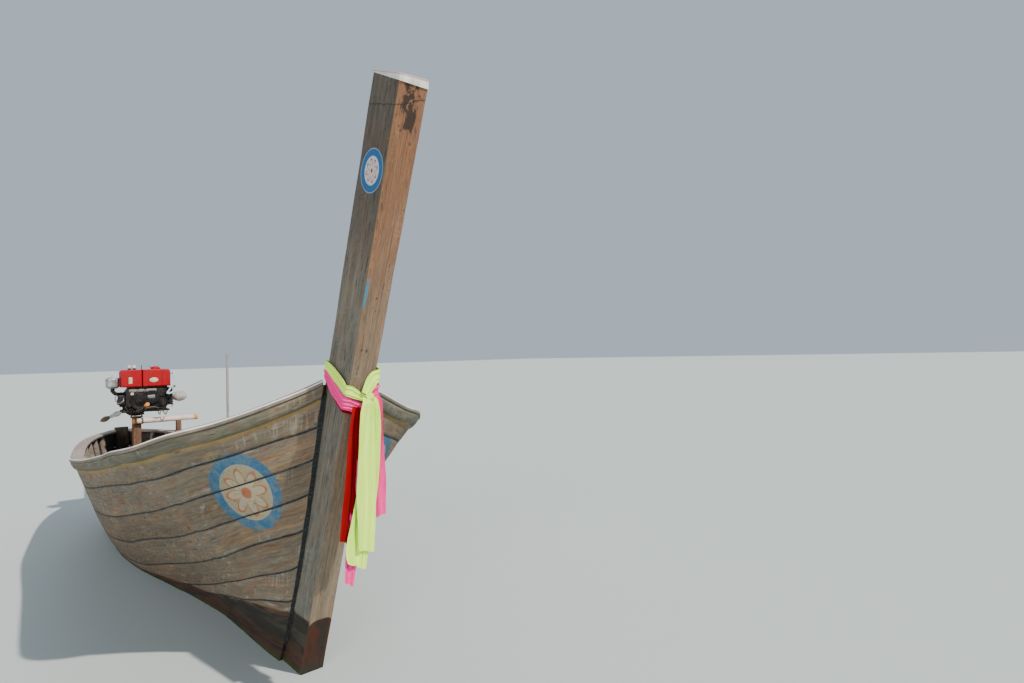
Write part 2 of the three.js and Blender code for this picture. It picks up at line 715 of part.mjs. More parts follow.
// Red tank and radiator hopper over the crankcase
const TANK_LOW_Z = CASE_TOP_Z + SEAT;
const TANK_TOP_Z = 504;
const TANK_FRONT_X = 150;
const TANK_AFT_X = -160;
function tankBox(y0, y1, roundLeft, roundRight) {
  const shape = new THREE.Shape();
  const edge = 34;
  shape.moveTo(y0, TANK_LOW_Z);
  shape.lineTo(y1, TANK_LOW_Z);
  shape.lineTo(y1, TANK_TOP_Z - (roundRight ? edge : 0));
  if (roundRight) shape.absarc(y1 - edge, TANK_TOP_Z - edge, edge, 0, Math.PI / 2);
  shape.lineTo(y0 + (roundLeft ? edge : 0), TANK_TOP_Z);
  if (roundLeft) shape.absarc(y0 + edge, TANK_TOP_Z - edge, edge, Math.PI / 2, Math.PI);
  const options = { depth: TANK_FRONT_X - TANK_AFT_X - 24, bevelSize: 12, bevelThickness: 12, bevelOffset: -12 };
  const box = new THREE.ExtrudeGeometry(shape, { ...options, bevelSegments: 2, curveSegments: 5 });
  box.applyMatrix4(new THREE.Matrix4().makeBasis(V(0, 1, 0), V(0, 0, 1), V(1, 0, 0)));
  return box.translate(TANK_AFT_X + 12, 0, 0);
}
const TANK_SPLIT_Y = 47;
const TANK_PORT_Y = 325;
const fuelTank = join([
  tankBox(-155, TANK_SPLIT_Y - 3, true, false),
  bar(V(20, -66, TANK_TOP_Z - 4), V(20, -66, TANK_TOP_Z + 48), 14, 12, 12),
  bar(V(20, -20, TANK_TOP_Z - 4), V(20, -20, TANK_TOP_Z + 48), 14, 12, 12),
]);
piece("fuel_tank", fuelTank, RED_PAINT, engine);
const hopper = join([
  tankBox(TANK_SPLIT_Y + 3, TANK_PORT_Y, false, true),
  bar(V(10, 190, TANK_TOP_Z - 4), V(10, 190, TANK_TOP_Z + 20), 48, 44, 20),
  bar(V(10, 190, TANK_TOP_Z + 18), V(10, 190, TANK_TOP_Z + 34), 30, 26, 16),
]);
piece("radiator_hopper", hopper, RED_PAINT, engine);

// Air cleaner canister and its elbow to the crankcase
function latheUp(profile, segments = 24) {
  const turned = new THREE.LatheGeometry(profile.map(([r, z]) => new THREE.Vector2(r, z)), segments);
  return turned.rotateX(Math.PI / 2);
}
const AIR_Y = -226;
const AIR_LOW_Z = 300;
const airCleaner = latheUp([
  [0, 0], [42, 0], [64, 18], [66, 84], [60, 90], [66, 96], [64, 112], [30, 130], [8, 134], [8, 146], [0, 146],
]);
piece("air_cleaner", airCleaner.translate(20, AIR_Y, AIR_LOW_Z), STEEL, engine);
piece(
  "intake_elbow",
  tube(
    [
      V(20, AIR_Y, AIR_LOW_Z - SEAT),
      V(20, AIR_Y, 272),
      V(20, -194, 239),
      V(20, -150, 236.5),
      V(20, CASE_STARBOARD_Y - 1, 236.5),
    ],
    20,
    10,
    12,
  ),
  BLACK_IRON,
  engine,
);

// Egg-shaped muffler on a short pipe from the cylinder head
const MUFFLER_Y = 434;
function muffler() {
  const half = 78;
  const steps = 9;
  const profile = [];
  for (let k = 0; k <= steps; k += 1) {
    const turn = (Math.PI * k) / steps - Math.PI / 2;
    profile.push(new THREE.Vector2(60 * Math.cos(turn), half * Math.sin(turn)));
  }
  profile[0].x = 0;
  profile[steps].x = 0;
  const egg = new THREE.LatheGeometry(profile, 20);
  return join([egg.translate(0, MUFFLER_Y, 180), bar(V(0, HEAD_FACE_Y + SEAT, 200), V(0, MUFFLER_Y - 50, 200), 17, 17, 12)]);
}
piece("muffler", muffler(), { color: 0xc9c5bc, roughness: 0.6, metalness: 0.1 }, engine);

// Cooling-water pipe from the hopper's port side, down in front of the cylinder head
const WATER_RADIUS = 10;
const WATER_X = TANK_FRONT_X + WATER_RADIUS + SEAT;
piece(
  "cooling_water_pipe",
  tube(
    [
      V(96, TANK_PORT_Y + SEAT, 455),
      V(96, TANK_PORT_Y + 14, 455),
      V(106, TANK_PORT_Y + 28, 457),
      V(136, TANK_PORT_Y + 33, 460),
      V(WATER_X, TANK_PORT_Y + 32, 436),
      V(WATER_X, 345, 350),
      V(WATER_X, 308, 262),
      V(WATER_X, 288, 232),
      V(WATER_X, 310, 224),
      V(WATER_X, 353, 250),
      V(WATER_X, 357, 300),
    ],
    WATER_RADIUS,
    36,
    10,
  ),
  PALE_BLUE,
  engine,
);

// Bell housing and the long tail tube that carries the propeller shaft
const TAIL_START = V(CASE_AFT_X - SEAT, 0, CRANK_Z);
const TAIL_HUB = V(-3870, 0, -292);
const tailDirection = TAIL_HUB.clone().sub(TAIL_START).normalize();
const alongTail = (distance) => TAIL_START.clone().addScaledVector(tailDirection, distance);
const BELL_LENGTH = 120;
const TAIL_LENGTH = TAIL_HUB.distanceTo(TAIL_START) - 60;
function bellHousing() {
  const plate = bar(V(CASE_AFT_X - SEAT - 16, 0, CRANK_Z), V(CASE_AFT_X - SEAT, 0, CRANK_Z), 128, 128, 28);
  return join([plate, bar(alongTail(8), alongTail(BELL_LENGTH), 110, 44, 24)]);
}
piece("bell_housing", bellHousing(), BLACK_IRON, engine);

const SHAFT_RADIUS = 13;
function tailTube() {
  const parts = [
    bar(alongTail(BELL_LENGTH + SEAT), alongTail(BELL_LENGTH + 26), 46, 46, 20),
    bar(alongTail(BELL_LENGTH + 20), alongTail(TAIL_LENGTH), 25, 25, 16),
    bar(alongTail(TAIL_LENGTH - 140), alongTail(TAIL_LENGTH - 4), 31, 31, 16),
  ];
  const boreRadius = SHAFT_RADIUS + PIN_PLAY;
  const bore = bar(alongTail(TAIL_LENGTH - 110), alongTail(TAIL_LENGTH + 10), boreRadius, boreRadius, 24);
  return cut(join(parts), [bore]);
}
piece("tail_tube", tailTube(), STEEL, engine);

// Two-bladed propeller on its shaft
const PROPELLER_RADIUS = 172;
function propeller() {
  const hubStart = TAIL_LENGTH + 14;
  const parts = [
    bar(alongTail(TAIL_LENGTH - 100), alongTail(hubStart + 20), SHAFT_RADIUS, SHAFT_RADIUS, 24),
    bar(alongTail(hubStart), alongTail(hubStart + 80), 29, 22, 18),
  ];
  const pitch = degToRad(32);
  for (const turn of [0, Math.PI]) {
    const blade = new THREE.Shape();
    blade.moveTo(-14, 14);
    blade.bezierCurveTo(-58, 60, -52, 150, 0, PROPELLER_RADIUS);
    blade.bezierCurveTo(44, 150, 46, 60, 14, 14);
    const flat = new THREE.ExtrudeGeometry(blade, { depth: 7, bevelEnabled: false, curveSegments: 7 });
    flat.translate(0, 0, -3.5).rotateY(Math.PI / 2 - pitch).rotateX(turn + degToRad(24));
    const place = new THREE.Matrix4().makeRotationFromQuaternion(
      new THREE.Quaternion().setFromUnitVectors(V(-1, 0, 0), tailDirection),
    );
    const middle = alongTail(hubStart + 38);
    parts.push(flat.applyMatrix4(place).translate(middle.x, middle.y, middle.z));
  }
  return join(parts);
}
piece("propeller", propeller(), BRONZE, engine);

// Tiller with its grip
const TILLER_RADIUS = 14;
piece(
  "tiller",
  tube([V(151, 0, 38), V(230, 0, 40), V(430, 0, 66), V(928, 0, 146)], TILLER_RADIUS, 12, 12),
  BLACK_IRON,
  engine,
);
piece(
  "tiller_grip",
  bar(V(928.6, 0, 146.1), V(1040, 0, 165), 19, 19, 16),
  { color: 0xe08a28, roughness: 0.6, metalness: 0 },
  engine,
);

// Cloth sashes tied round the stem, and their hanging ends
const WRAP_THICK = 13;
const WRAP_CLEAR = SEAT;
function wrap(rearZ, frontZ, height) {
  const ring = (grow, extra) => {
    const corner = (front, side, up) => {
      const z = (front ? frontZ : rearZ) + up * (height / 2 + extra);
      const x = stemFrontX(z) + (front ? grow : -STEM_DEPTH - grow);
      return V(x, side * (BACKBONE_HALF + 2 + grow), z);
    };
    const loopAt = (up) => [corner(0, -1, up), corner(1, -1, up), corner(1, 1, up), corner(0, 1, up)];
    return loft([loopAt(-1), loopAt(1)]);
  };
  return cut(ring(WRAP_CLEAR + WRAP_THICK, 0), [ring(WRAP_CLEAR, 20)]);
}
piece("sash_wrap_lime", wrap(1752, 1636, 44), LIME);
piece("sash_wrap_pink", wrap(1704, 1588, 44), PINK);

// Hanging ends. Columns: name, x of the after face, y, top z, low z, width, finish.
const TAIL_THICK = 22;
const TAIL_X = 3016;
const TAIL_TOP_Z = 1565.6;
const TAILS = [
  { name: "sash_tail_lime", x: TAIL_X + TAIL_THICK + SEAT, y: -8, top: 1545, low: 705, width: 190, finish: LIME },
  { name: "sash_tail_red", x: TAIL_X, y: -84, top: TAIL_TOP_Z, low: 815, width: 95, finish: RED_CLOTH },
  { name: "sash_tail_pink", x: TAIL_X, y: 66, top: TAIL_TOP_Z, low: 620, width: 90, finish: PINK },
];
for (const { name, x, y, top, low, width, finish } of TAILS) {
  piece(name, boxBetween([x, y - width / 2, low], [x + TAIL_THICK, y + width / 2, top]), finish);
}

export default boat;
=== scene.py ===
import math
import random

import bmesh
import bpy
import numpy as np
from mathutils import Matrix, Vector, noise


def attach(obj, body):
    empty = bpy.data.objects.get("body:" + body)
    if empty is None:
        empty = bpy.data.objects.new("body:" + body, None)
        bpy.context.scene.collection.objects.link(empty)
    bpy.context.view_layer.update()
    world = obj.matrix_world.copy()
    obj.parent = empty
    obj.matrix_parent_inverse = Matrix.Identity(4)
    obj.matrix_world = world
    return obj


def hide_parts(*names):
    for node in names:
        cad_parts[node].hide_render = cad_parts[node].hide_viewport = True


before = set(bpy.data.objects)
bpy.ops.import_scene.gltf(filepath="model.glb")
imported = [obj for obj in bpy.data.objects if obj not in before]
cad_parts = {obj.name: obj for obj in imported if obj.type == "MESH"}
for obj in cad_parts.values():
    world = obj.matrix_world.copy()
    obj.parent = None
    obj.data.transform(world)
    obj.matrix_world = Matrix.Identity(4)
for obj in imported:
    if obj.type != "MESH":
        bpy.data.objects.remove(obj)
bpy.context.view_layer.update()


def maths(operation, swapped=False):
    """A method that adds one Math node."""
    def add_node(number, *others):
        values = (*others, number) if swapped else (number, *others)
        return number.finish.node("ShaderNodeMath", {"operation": operation}, dict(enumerate(values)))
    return add_node


class Number:
    """A socket of a finish. Python's own operators on it add Math nodes."""

    def __init__(self, finish, socket):
        self.finish = finish
        self.socket = socket

    __add__ = __radd__ = maths("ADD")
    __sub__ = maths("SUBTRACT")
    __rsub__ = maths("SUBTRACT", swapped=True)
    __mul__ = __rmul__ = maths("MULTIPLY")
    __truediv__ = maths("DIVIDE")
    __pow__ = maths("POWER")
    __abs__ = maths("ABSOLUTE")
    cosine = maths("COSINE")
    sine = maths("SINE")
    turn_from = maths("ARCTAN2")
    least = maths("MINIMUM")

    def rise(self, low, high):
        """0 below low and 1 above high, with a smooth slope between them."""
        ends = {"Value": self, "From Min": low, "From Max": high, "To Min": 0.0, "To Max": 1.0}
        return self.finish.node("ShaderNodeMapRange", {"interpolation_type": "SMOOTHSTEP"}, ends)

    def fall(self, low, high):
        """1 below low and 0 above high."""
        return 1 - self.rise(low, high)

    def near(self, place, inside, outside):
        """1 within inside of a place and 0 beyond outside."""
        return abs(self - place).fall(inside, outside)


class Finish:
    """A Principled material and the nodes behind its sockets."""

    def __init__(self, name, **sockets):
        self.material = bpy.data.materials.new(name)
        self.material.use_nodes = True
        self.tree = self.material.node_tree
        self.shader = self.tree.nodes["Principled BSDF"]
        for key, value in {"Specular_IOR_Level": 0.25, **sockets}.items():
            self.feed(self.shader.inputs[key.replace("_", " ")], value)

    def feed(self, socket, value):
        if isinstance(value, Number):
            self.tree.links.new(value.socket, socket)
        elif isinstance(value, tuple) and len(value) == 3 and socket.type == "RGBA":
            socket.default_value = (*value, 1.0)
        else:
            socket.default_value = value

    def node(self, kind, settings, values, out=0):
        made = self.tree.nodes.new(kind)
        for key, value in settings.items():
            if key == "stops":
                ramp = made.color_ramp.elements
                while len(ramp) < len(value):
                    ramp.new(0.5)
                for element, (place, colour) in zip(ramp, value):
                    element.position = place
                    element.color = (*colour, 1.0)
            else:
                setattr(made, key, value)
        for key, value in values.items():
            self.feed(made.inputs[key], value)
        return Number(self, made.outputs[out])

    def field(self, name):
        """Three numbers that a mesh stores at each point."""
        return self.split(self.node("ShaderNodeAttribute", {"attribute_name": name}, {}, 1))

    def split(self, vector):
        parts = self.node("ShaderNodeSeparateXYZ", {}, {0: vector})
        return [Number(self, socket) for socket in parts.socket.node.outputs]

    def rest_place(self):
        return self.split(self.node("ShaderNodeTexCoord", {}, {}, 3))

    def point(self, x, y, z):
        return self.node("ShaderNodeCombineXYZ", {}, {0: x, 1: y, 2: z})

    def grain(self, x, y, z, detail=3.0, rough=0.55, warp=0.0):
        values = {"Vector": self.point(x, y, z), "Scale": 1.0, "Detail": detail, "Roughness": rough,
                  "Distortion": warp}
        return self.node("ShaderNodeTexNoise", {}, values)

    def mix(self, below, above, share, blend="MIX"):
        settings = {"data_type": "RGBA", "blend_type": blend, "clamp_factor": True}
        return self.node("ShaderNodeMix", settings, {0: share, 6: below, 7: above}, 2)

    def ramp(self, share, *stops):
        return self.node("ShaderNodeValToRGB", {"stops": stops}, {0: share})

    def surface(self, colour, roughness, height, depth, metal=None):
        self.feed(self.shader.inputs["Base Color"], colour)
        self.feed(self.shader.inputs["Roughness"], roughness)
        if metal is not None:
            self.feed(self.shader.inputs["Metallic"], metal)
        if height is not None:
            bump = self.node("ShaderNodeBump", {}, {"Strength": 0.8, "Distance": depth, "Height": height})
            self.feed(self.shader.inputs["Normal"], bump)
        return self.material


BACKBONE = 0.067
RED_BROWN = (0.15, 0.07, 0.035)
OCHRE = (0.27, 0.2, 0.1)
SOOT = (0.02, 0.018, 0.016)
CHALK = (0.46, 0.44, 0.41)


def wood_tones(finish, tones, patches=1.0, scuffs=1.0):
    """Colour, roughness and height of weathered wood, from its mesh's grain field."""
    along, across, seed = finish.field("grain")
    edge, low_part, _ = finish.field("marks")
    broad = finish.grain(along * 1.1, across * 7, seed * 3.7, 4.0, 0.6)
    streak = finish.grain(along * 4.2, across * 60, seed * 5.3, 5.0, 0.66, 0.3)
    fibre = finish.grain(along * 16, across * 380, seed, 3.0, 0.6)
    blotch = finish.grain(along * 7, across * 12, seed * 2.9, 5.0, 0.66, 0.5)
    mottle = finish.grain(along * 2.6, across * 8, seed * 6.6, 6.0, 0.7, 0.8)
    speck = finish.grain(along * 60, across * 90, seed * 9.1, 2.0, 0.5)
    tone = broad * 0.2 + streak * 0.3 + fibre * 0.2 + blotch * 0.3
    colour = finish.ramp(tone, (0.36, tones[0]), (0.5, tones[1]), (0.64, tones[2]))
    plank_tone = finish.grain(seed * 7.7, seed * 3.1, along * 0.25, 1.0).rise(0.35, 0.7)
    colour = finish.mix(colour, (0.7, 0.66, 0.6), plank_tone * 0.5, "MULTIPLY")
    colour = finish.mix(colour, (0.92, 0.98, 0.96), mottle.rise(0.42, 0.58) * 0.7, "MULTIPLY")
    colour = finish.mix(colour, (1.16, 0.96, 0.8), mottle.fall(0.38, 0.5) * patches, "MULTIPLY")
    reddish = blotch.rise(0.5, 0.62) * mottle.rise(0.36, 0.5) * mottle.fall(0.56, 0.66)
    colour = finish.mix(colour, RED_BROWN, reddish * (0.6 * patches))
    tan = finish.grain(along * 5, across * 14, seed * 8.3, 5.0, 0.68, 0.4).rise(0.56, 0.68)
    colour = finish.mix(colour, OCHRE, tan * (0.5 * patches))
    scuff = finish.grain(along * 5.5, across * 22, seed * 6.1 + 4, 5.0, 0.7, 0.6).rise(0.58, 0.7)
    combed = finish.grain(along * 75, across * 7, seed * 3.3, 3.0, 0.6).rise(0.5, 0.62)
    combed = combed * finish.grain(along * 3, across * 6, seed * 4.9, 4.0, 0.7).rise(0.54, 0.62)
    scuff = scuff * fibre.rise(0.35, 0.6) * (0.45 * scuffs + 0.4 * scuffs * low_part)
    colour = finish.mix(colour, CHALK, (scuff + combed * (0.2 * scuffs)).least(0.8))
    stain = finish.grain(along * 9, across * 30, seed * 4.4 + 9, 4.0, 0.7).rise(0.61, 0.74)
    colour = finish.mix(colour, SOOT, stain * 0.55)
    colour = finish.mix(colour, SOOT, speck.rise(0.69, 0.76) * 0.75)
    check = finish.grain(along * 2.4, across * 60, seed * 1.9, 2.0).near(0.5, 0.003, 0.012)
    check = check * blotch.rise(0.5, 0.58)
    colour = finish.mix(colour, SOOT, check * 0.6)
    worn_edge = edge.fall(0.001, 0.016) * blotch.rise(0.36, 0.6)
    colour = finish.mix(colour, (0.06, 0.065, 0.07), worn_edge * 0.75)
    height = streak * 0.4 + fibre * 0.25 + blotch * 0.5 - check * 0.6
    return colour, 0.78 + blotch * 0.16, height


def plain_wood(name, tones, patches, scuffs):
    finish = Finish(name)
    colour, rough, height = wood_tones(finish, tones, patches, scuffs)
    return finish.surface(colour, rough, height, 0.0022)


def flower(u, v):
    """How far a spot is from a flower's middle, and how much of a petal lies in its direction."""
    return (u * u + v * v) ** 0.5, abs((v.turn_from(u) * 4).cosine())


def rosette(finish, colour, u, v):
    """Faded blue ring round a worn tan disc with a flower of eight petals. u and v are shares
    of its half width and half height."""
    reach, lobe = flower(u, v)
    ragged = finish.grain(u * 9, v * 9, 3.0, 4.0, 0.7) - 0.5
    mottled = finish.grain(u * 3.5, v * 3.5, 6.0, 5.0, 0.7)
    petal = 0.26 + lobe * 0.34 - reach + ragged * 0.03
    drawn = abs(petal).fall(0.02, 0.05) + (reach + ragged * 0.05).fall(0.13, 0.16)
    disc = finish.mix((0.27, 0.235, 0.15), (0.33, 0.29, 0.2), petal.rise(-0.02, 0.02))
    disc = finish.mix(disc, (0.33, 0.085, 0.035), drawn.least(1.0) * 0.85)
    blue = finish.mix((0.028, 0.105, 0.2), (0.09, 0.15, 0.18), mottled.rise(0.42, 0.64))
    disc = finish.mix(disc, blue, (reach + ragged * 0.05).rise(0.7, 0.73))
    disc = finish.mix(disc, (0.3, 0.31, 0.3), reach.near(0.715, 0.008, 0.02) * 0.5)
    worn_off = finish.grain(u * 6, v * 6, 8.0, 6.0, 0.75).rise(0.5, 0.66)
    return finish.mix(colour, disc, (reach + ragged * 0.07).fall(0.97, 1.01) * (1 - worn_off * 0.7))


def bottom_paint(finish, colour, above, x, z):
    """Dark bottom paint where above, the height over its upper edge, is under nothing."""
    ragged = finish.grain(x * 5, z * 14, 2.0, 5.0, 0.7) * 0.05
    scum = finish.grain(x * 3, z * 16, 7.0, 5.0, 0.65, 0.4)
    tar = finish.mix((0.02, 0.018, 0.014), (0.045, 0.04, 0.03), scum.rise(0.42, 0.66))
    red_band = z.near(0.07, 0.02, 0.13) * scum.rise(0.34, 0.56)
    tar = finish.mix(tar, (0.07, 0.027, 0.015), red_band * 0.75)
    weed = z.fall(0.005, 0.04) * scum.rise(0.3, 0.55)
    tar = finish.mix(tar, (0.035, 0.06, 0.012), weed)
    lip = (above + ragged).near(0.025, 0.006, 0.02) * scum.rise(0.4, 0.6)
    tar = finish.mix(tar, (0.12, 0.045, 0.026), lip * 0.7)
    return finish.mix(colour, tar, (above + ragged - 0.03).fall(-0.006, 0.008))


def plank_finish():
    """Weathered planks with an ochre line under the rail, the rosette, the bottom paint and painted shade on
    their inner faces.
    """
    finish = Finish("weathered planking")
    tones = ((0.075, 0.061, 0.046), (0.165, 0.135, 0.102), (0.28, 0.24, 0.188))
    colour, rough, height = wood_tones(finish, tones)
    _, _, boot = finish.field("marks")
    u, v, outside = finish.field("emblem")
    under_rim, _, _ = finish.field("rim")
    x, _, z = finish.rest_place()
    smear = finish.grain(x * 4, z * 30, 5.0, 5.0, 0.7)
    ochre = (under_rim + smear * 0.04).fall(0.09, 0.13) * smear.rise(0.3, 0.55)
    colour = finish.mix(colour, (0.33, 0.21, 0.055), ochre * 0.75)
    colour = rosette(finish, colour, u, v)
    colour = bottom_paint(finish, colour, boot, x, z)
    # Painted shade: the planks' inner faces are near black, standing for the hull's inside lying in shade.
    inside = finish.mix((0.02, 0.017, 0.015), (0.06, 0.05, 0.042), smear.rise(0.4, 0.65))
    colour = finish.mix(inside, colour, outside)
    return finish.surface(colour, rough, height, 0.002)


# Knots of the stem post's front: height, and metres to port of its middle
KNOTS = ((2.695, 0.028), (2.025, 0.0), (1.967, 0.003), (1.785, -0.033), (1.78, -0.005))
CRACK_HEIGHT = 2.855
SMEAR_HEIGHT = 2.045
POST_PAINT_TOP = 0.33


def post_badge(finish, colour, u, v):
    """Small blue disc with a white middle and a red flower. u and v are metres from its middle."""
    reach, lobe = flower(u, v)
    badge = finish.mix((0.022, 0.11, 0.27), (0.46, 0.5, 0.5), reach.fall(0.065, 0.067))
    petals = (0.02 + lobe * 0.032 - reach).near(0.0, 0.003, 0.005) + reach.fall(0.009, 0.011)
    badge = finish.mix(badge, (0.45, 0.03, 0.03), petals.least(1.0))
    badge = finish.mix(badge, (0.25, 0.32, 0.38), reach.near(0.099, 0.001, 0.0025))
    worn_off = finish.grain(u * 60, v * 60, 1.0, 4.0, 0.7).rise(0.56, 0.7)
    return finish.mix(colour, badge, reach.fall(0.101, 0.103) * (1 - worn_off * 0.5))


def stem_finish():
    """Post: tan-brown front, greyer sides, black stains near its head and a painted foot."""
    finish = Finish("stem timber")
    tones = ((0.085, 0.062, 0.045), (0.19, 0.145, 0.104), (0.3, 0.245, 0.18))
    colour, rough, height = wood_tones(finish, tones, 0.6, 0.5)
    front, up, arris = finish.field("post")
    u, v, _ = finish.field("emblem")
    along, across, _ = finish.field("grain")
    x, _, z = finish.rest_place()
    stain = finish.grain(along * 9, across * 30, 5.0, 6.0, 0.72, 0.7)
    broad = finish.grain(along * 4.5, across * 11, 15.0, 4.0, 0.6, 0.4)
    blot = finish.grain(along * 15, across * 24, 11.0, 4.0, 0.6, 0.6)
    wander = stain - 0.5

    grey = finish.mix(colour, (0.8, 0.95, 1.12), 1 - up.rise(1.2, 2.4) * 0.3, "MULTIPLY")
    grey = finish.mix(grey, (0.66, 0.64, 0.68), up.rise(1.9, 2.6), "MULTIPLY")
    colour = finish.mix(grey, colour, front)
    colour = finish.mix(colour, (1.12, 0.74, 0.58), front * up.rise(1.5, 2.7), "MULTIPLY")
    colour = finish.mix(colour, (1.0, 1.02, 1.02), up.fall(0.7, 1.3), "MULTIPLY")

    head = up.rise(2.68, 2.76) * front * abs(across).fall(0.03, 0.068)
    sooty = (stain * 0.4 + blot * 0.6 + head * 0.12).rise(0.58, 0.63)
    colour = finish.mix(colour, SOOT, sooty * head * 0.88)
    split = finish.grain(along * 1.6, across * 42, 2.0, 2.0).near(0.5, 0.003, 0.011)
    colour = finish.mix(colour, SOOT, split * (1 - front) * broad.rise(0.42, 0.52) * 0.8)
    square = up - (1 - front) * ((across - BACKBONE) * 0.31 - 0.026) - front * across * 0.39
    crack = (square + wander * 0.03).near(CRACK_HEIGHT, 0.0012, 0.004)
    colour = finish.mix(colour, SOOT, crack * 0.7)
    for knot_up, knot_across in KNOTS:
        off = ((up - knot_up) ** 2 + (across - knot_across) ** 2 * 1.5) ** 0.5 + wander * 0.03
        colour = finish.mix(colour, (0.05, 0.03, 0.02), off.fall(0.002, 0.009) * front * 0.8)
    ochre_edge = (arris + wander * 0.008).fall(0.001, 0.006) * broad.rise(0.44, 0.56)
    colour = finish.mix(colour, (0.38, 0.26, 0.08), ochre_edge * up.rise(1.9, 2.3) * 0.45)
    smear = up.near(SMEAR_HEIGHT, 0.035, 0.085) * (across + wander * 0.02).near(-0.06, 0.004, 0.01)
    colour = finish.mix(colour, (0.03, 0.2, 0.32), smear * stain.rise(0.4, 0.5) * front * 0.9)
    colour = post_badge(finish, colour, u, v)

    colour = finish.mix(bottom_paint(finish, colour, up - POST_PAINT_TOP, x, z), colour, front)
    arch = up + (abs(across) / BACKBONE) ** 4 * 0.03
    foot = (arch + stain * 0.02).fall(0.335, 0.345)
    dark = broad.rise(0.42, 0.58) * abs(across).fall(0.035, 0.06)
    red = finish.mix((0.04, 0.011, 0.005), (0.012, 0.01, 0.008), dark)
    red = finish.mix(red, (0.02, 0.018, 0.012), up.fall(0.02, 0.09))
    colour = finish.mix(colour, red, foot * front * 0.95)
    return finish.surface(colour, rough, height, 0.0025)


def rail_finish():
    """Pinkish-grey cap with a thin white line along its outer arris."""
    finish = Finish("rail capping")
    tones = ((0.15, 0.12, 0.112), (0.3, 0.25, 0.235), (0.46, 0.41, 0.385))
    colour, rough, height = wood_tones(finish, tones, 0.4, 1.0)
    along, across, _ = finish.field("grain")
    under = finish.mix(colour, (0.62, 0.66, 0.6), across.fall(0.017, 0.021), "MULTIPLY")
    flakes = finish.grain(along * 16, across * 60, 3.0, 5.0, 0.7).rise(0.54, 0.64)
    white = across.near(0.0245, 0.004, 0.0065) * (1 - flakes * 0.75)
    return finish.surface(finish.mix(under, (0.66, 0.63, 0.6), white), rough, height, 0.0016)


def caulk_finish(name, colour, light):
    finish = Finish(name)
    x, y, z = finish.rest_place()
    lumps = finish.grain(x * 40, y * 40, z * 90, 4.0, 0.65)
    tone = finish.mix(colour, light, lumps.rise(0.45, 0.7))
    return finish.surface(tone, 0.82 - lumps * 0.1, lumps, 0.0016)


DUST = (0.2, 0.18, 0.15)
RUST = (0.12, 0.045, 0.02)


def painted_finish(name, colour, under, chips, dust, gloss, metal=0.0):
    """Paint or bare metal with dust in its hollows, chips and rust."""
    finish = Finish(name)
    x, y, z = finish.rest_place()
    cloud = finish.grain(x * 9, y * 9, z * 9, 5.0, 0.65, 0.3)
    fine = finish.grain(x * 70, y * 70, z * 70, 4.0, 0.65)
    run = finish.grain(x * 45, y * 45, z * 5, 4.0, 0.6)
    chip = (cloud * 0.5 + fine * 0.5).rise(0.62 - 0.06 * chips, 0.66 - 0.06 * chips)
    tone = finish.mix(colour, tuple(c * 0.62 for c in colour), run.rise(0.48, 0.7) * 0.6)
    tone = finish.mix(tone, DUST, cloud.rise(0.42, 0.7) * dust)
    bared = finish.mix(under, RUST, fine.rise(0.4, 0.6))
    tone = finish.mix(tone, bared, chip * min(1.0, chips * 1.6))
    rough = gloss + cloud * 0.25 + chip * 0.3
    bare = metal * (1 - chip * 0.7) if metal else None
    return finish.surface(tone, rough, fine * 0.35 + cloud * 0.3 - chip * 0.5, 0.0008, bare)


def cloth_finish(name, colour, shade, stain_tone=None):
    """Thin woven cloth: fine crossing threads, soft folds with painted shade in their depth."""
    finish = Finish(name, Sheen_Weight=0.03, Sheen_Roughness=0.5, Specular_IOR_Level=0.08)
    across, along, depth = finish.field("weave")
    warp = (across * 2400).sine()
    weft = (along * 2400).sine()
    cloud = finish.grain(across * 7, along * 7, 1.0, 4.0, 0.6)
    slub = finish.grain(across * 25, along * 260, 4.0, 2.0)
    # Painted shade: the low parts of the pleats are mixed towards the shade colour.
    tone = finish.mix(colour, shade, depth.fall(0.1, 0.7) * 0.4)
    tone = finish.mix(tone, shade, cloud.rise(0.55, 0.75) * 0.2)
    lighter = tuple(min(1.0, c * 1.2 + 0.01) for c in colour)
    tone = finish.mix(tone, lighter, slub.rise(0.55, 0.8) * 0.25)
    if stain_tone:
        grime = finish.grain(across * 24, along * 13, 9.0, 5.0, 0.7, 0.5).rise(0.6, 0.7)
        tone = finish.mix(tone, stain_tone, grime * 0.45)
    return finish.surface(tone, 0.75 + cloud * 0.2, warp * weft * 0.3 + slub * 0.4, 0.0006)


# Dark, middle and light tone of each plain wood, its reddish patches and its scuffs
WOODS = {
    "pale wood": (((0.16, 0.13, 0.11), (0.33, 0.28, 0.25), (0.52, 0.47, 0.43)), 0.5, 1.2),
    "rub wood": (((0.06, 0.058, 0.045), (0.15, 0.142, 0.11), (0.28, 0.265, 0.22)), 0.8, 0.8),
    "rib wood": (((0.12, 0.1, 0.085), (0.26, 0.22, 0.19), (0.42, 0.37, 0.33)), 0.5, 1.0),
    "inner wood": (((0.055, 0.042, 0.032), (0.13, 0.105, 0.082), (0.26, 0.22, 0.18)), 0.8, 0.7),
    "keel wood": (((0.02, 0.017, 0.013), (0.05, 0.04, 0.03), (0.1, 0.085, 0.065)), 0.6, 0.2),
    "post wood": (((0.05, 0.028, 0.018), (0.13, 0.07, 0.045), (0.22, 0.14, 0.1)), 0.8, 0.5),
}
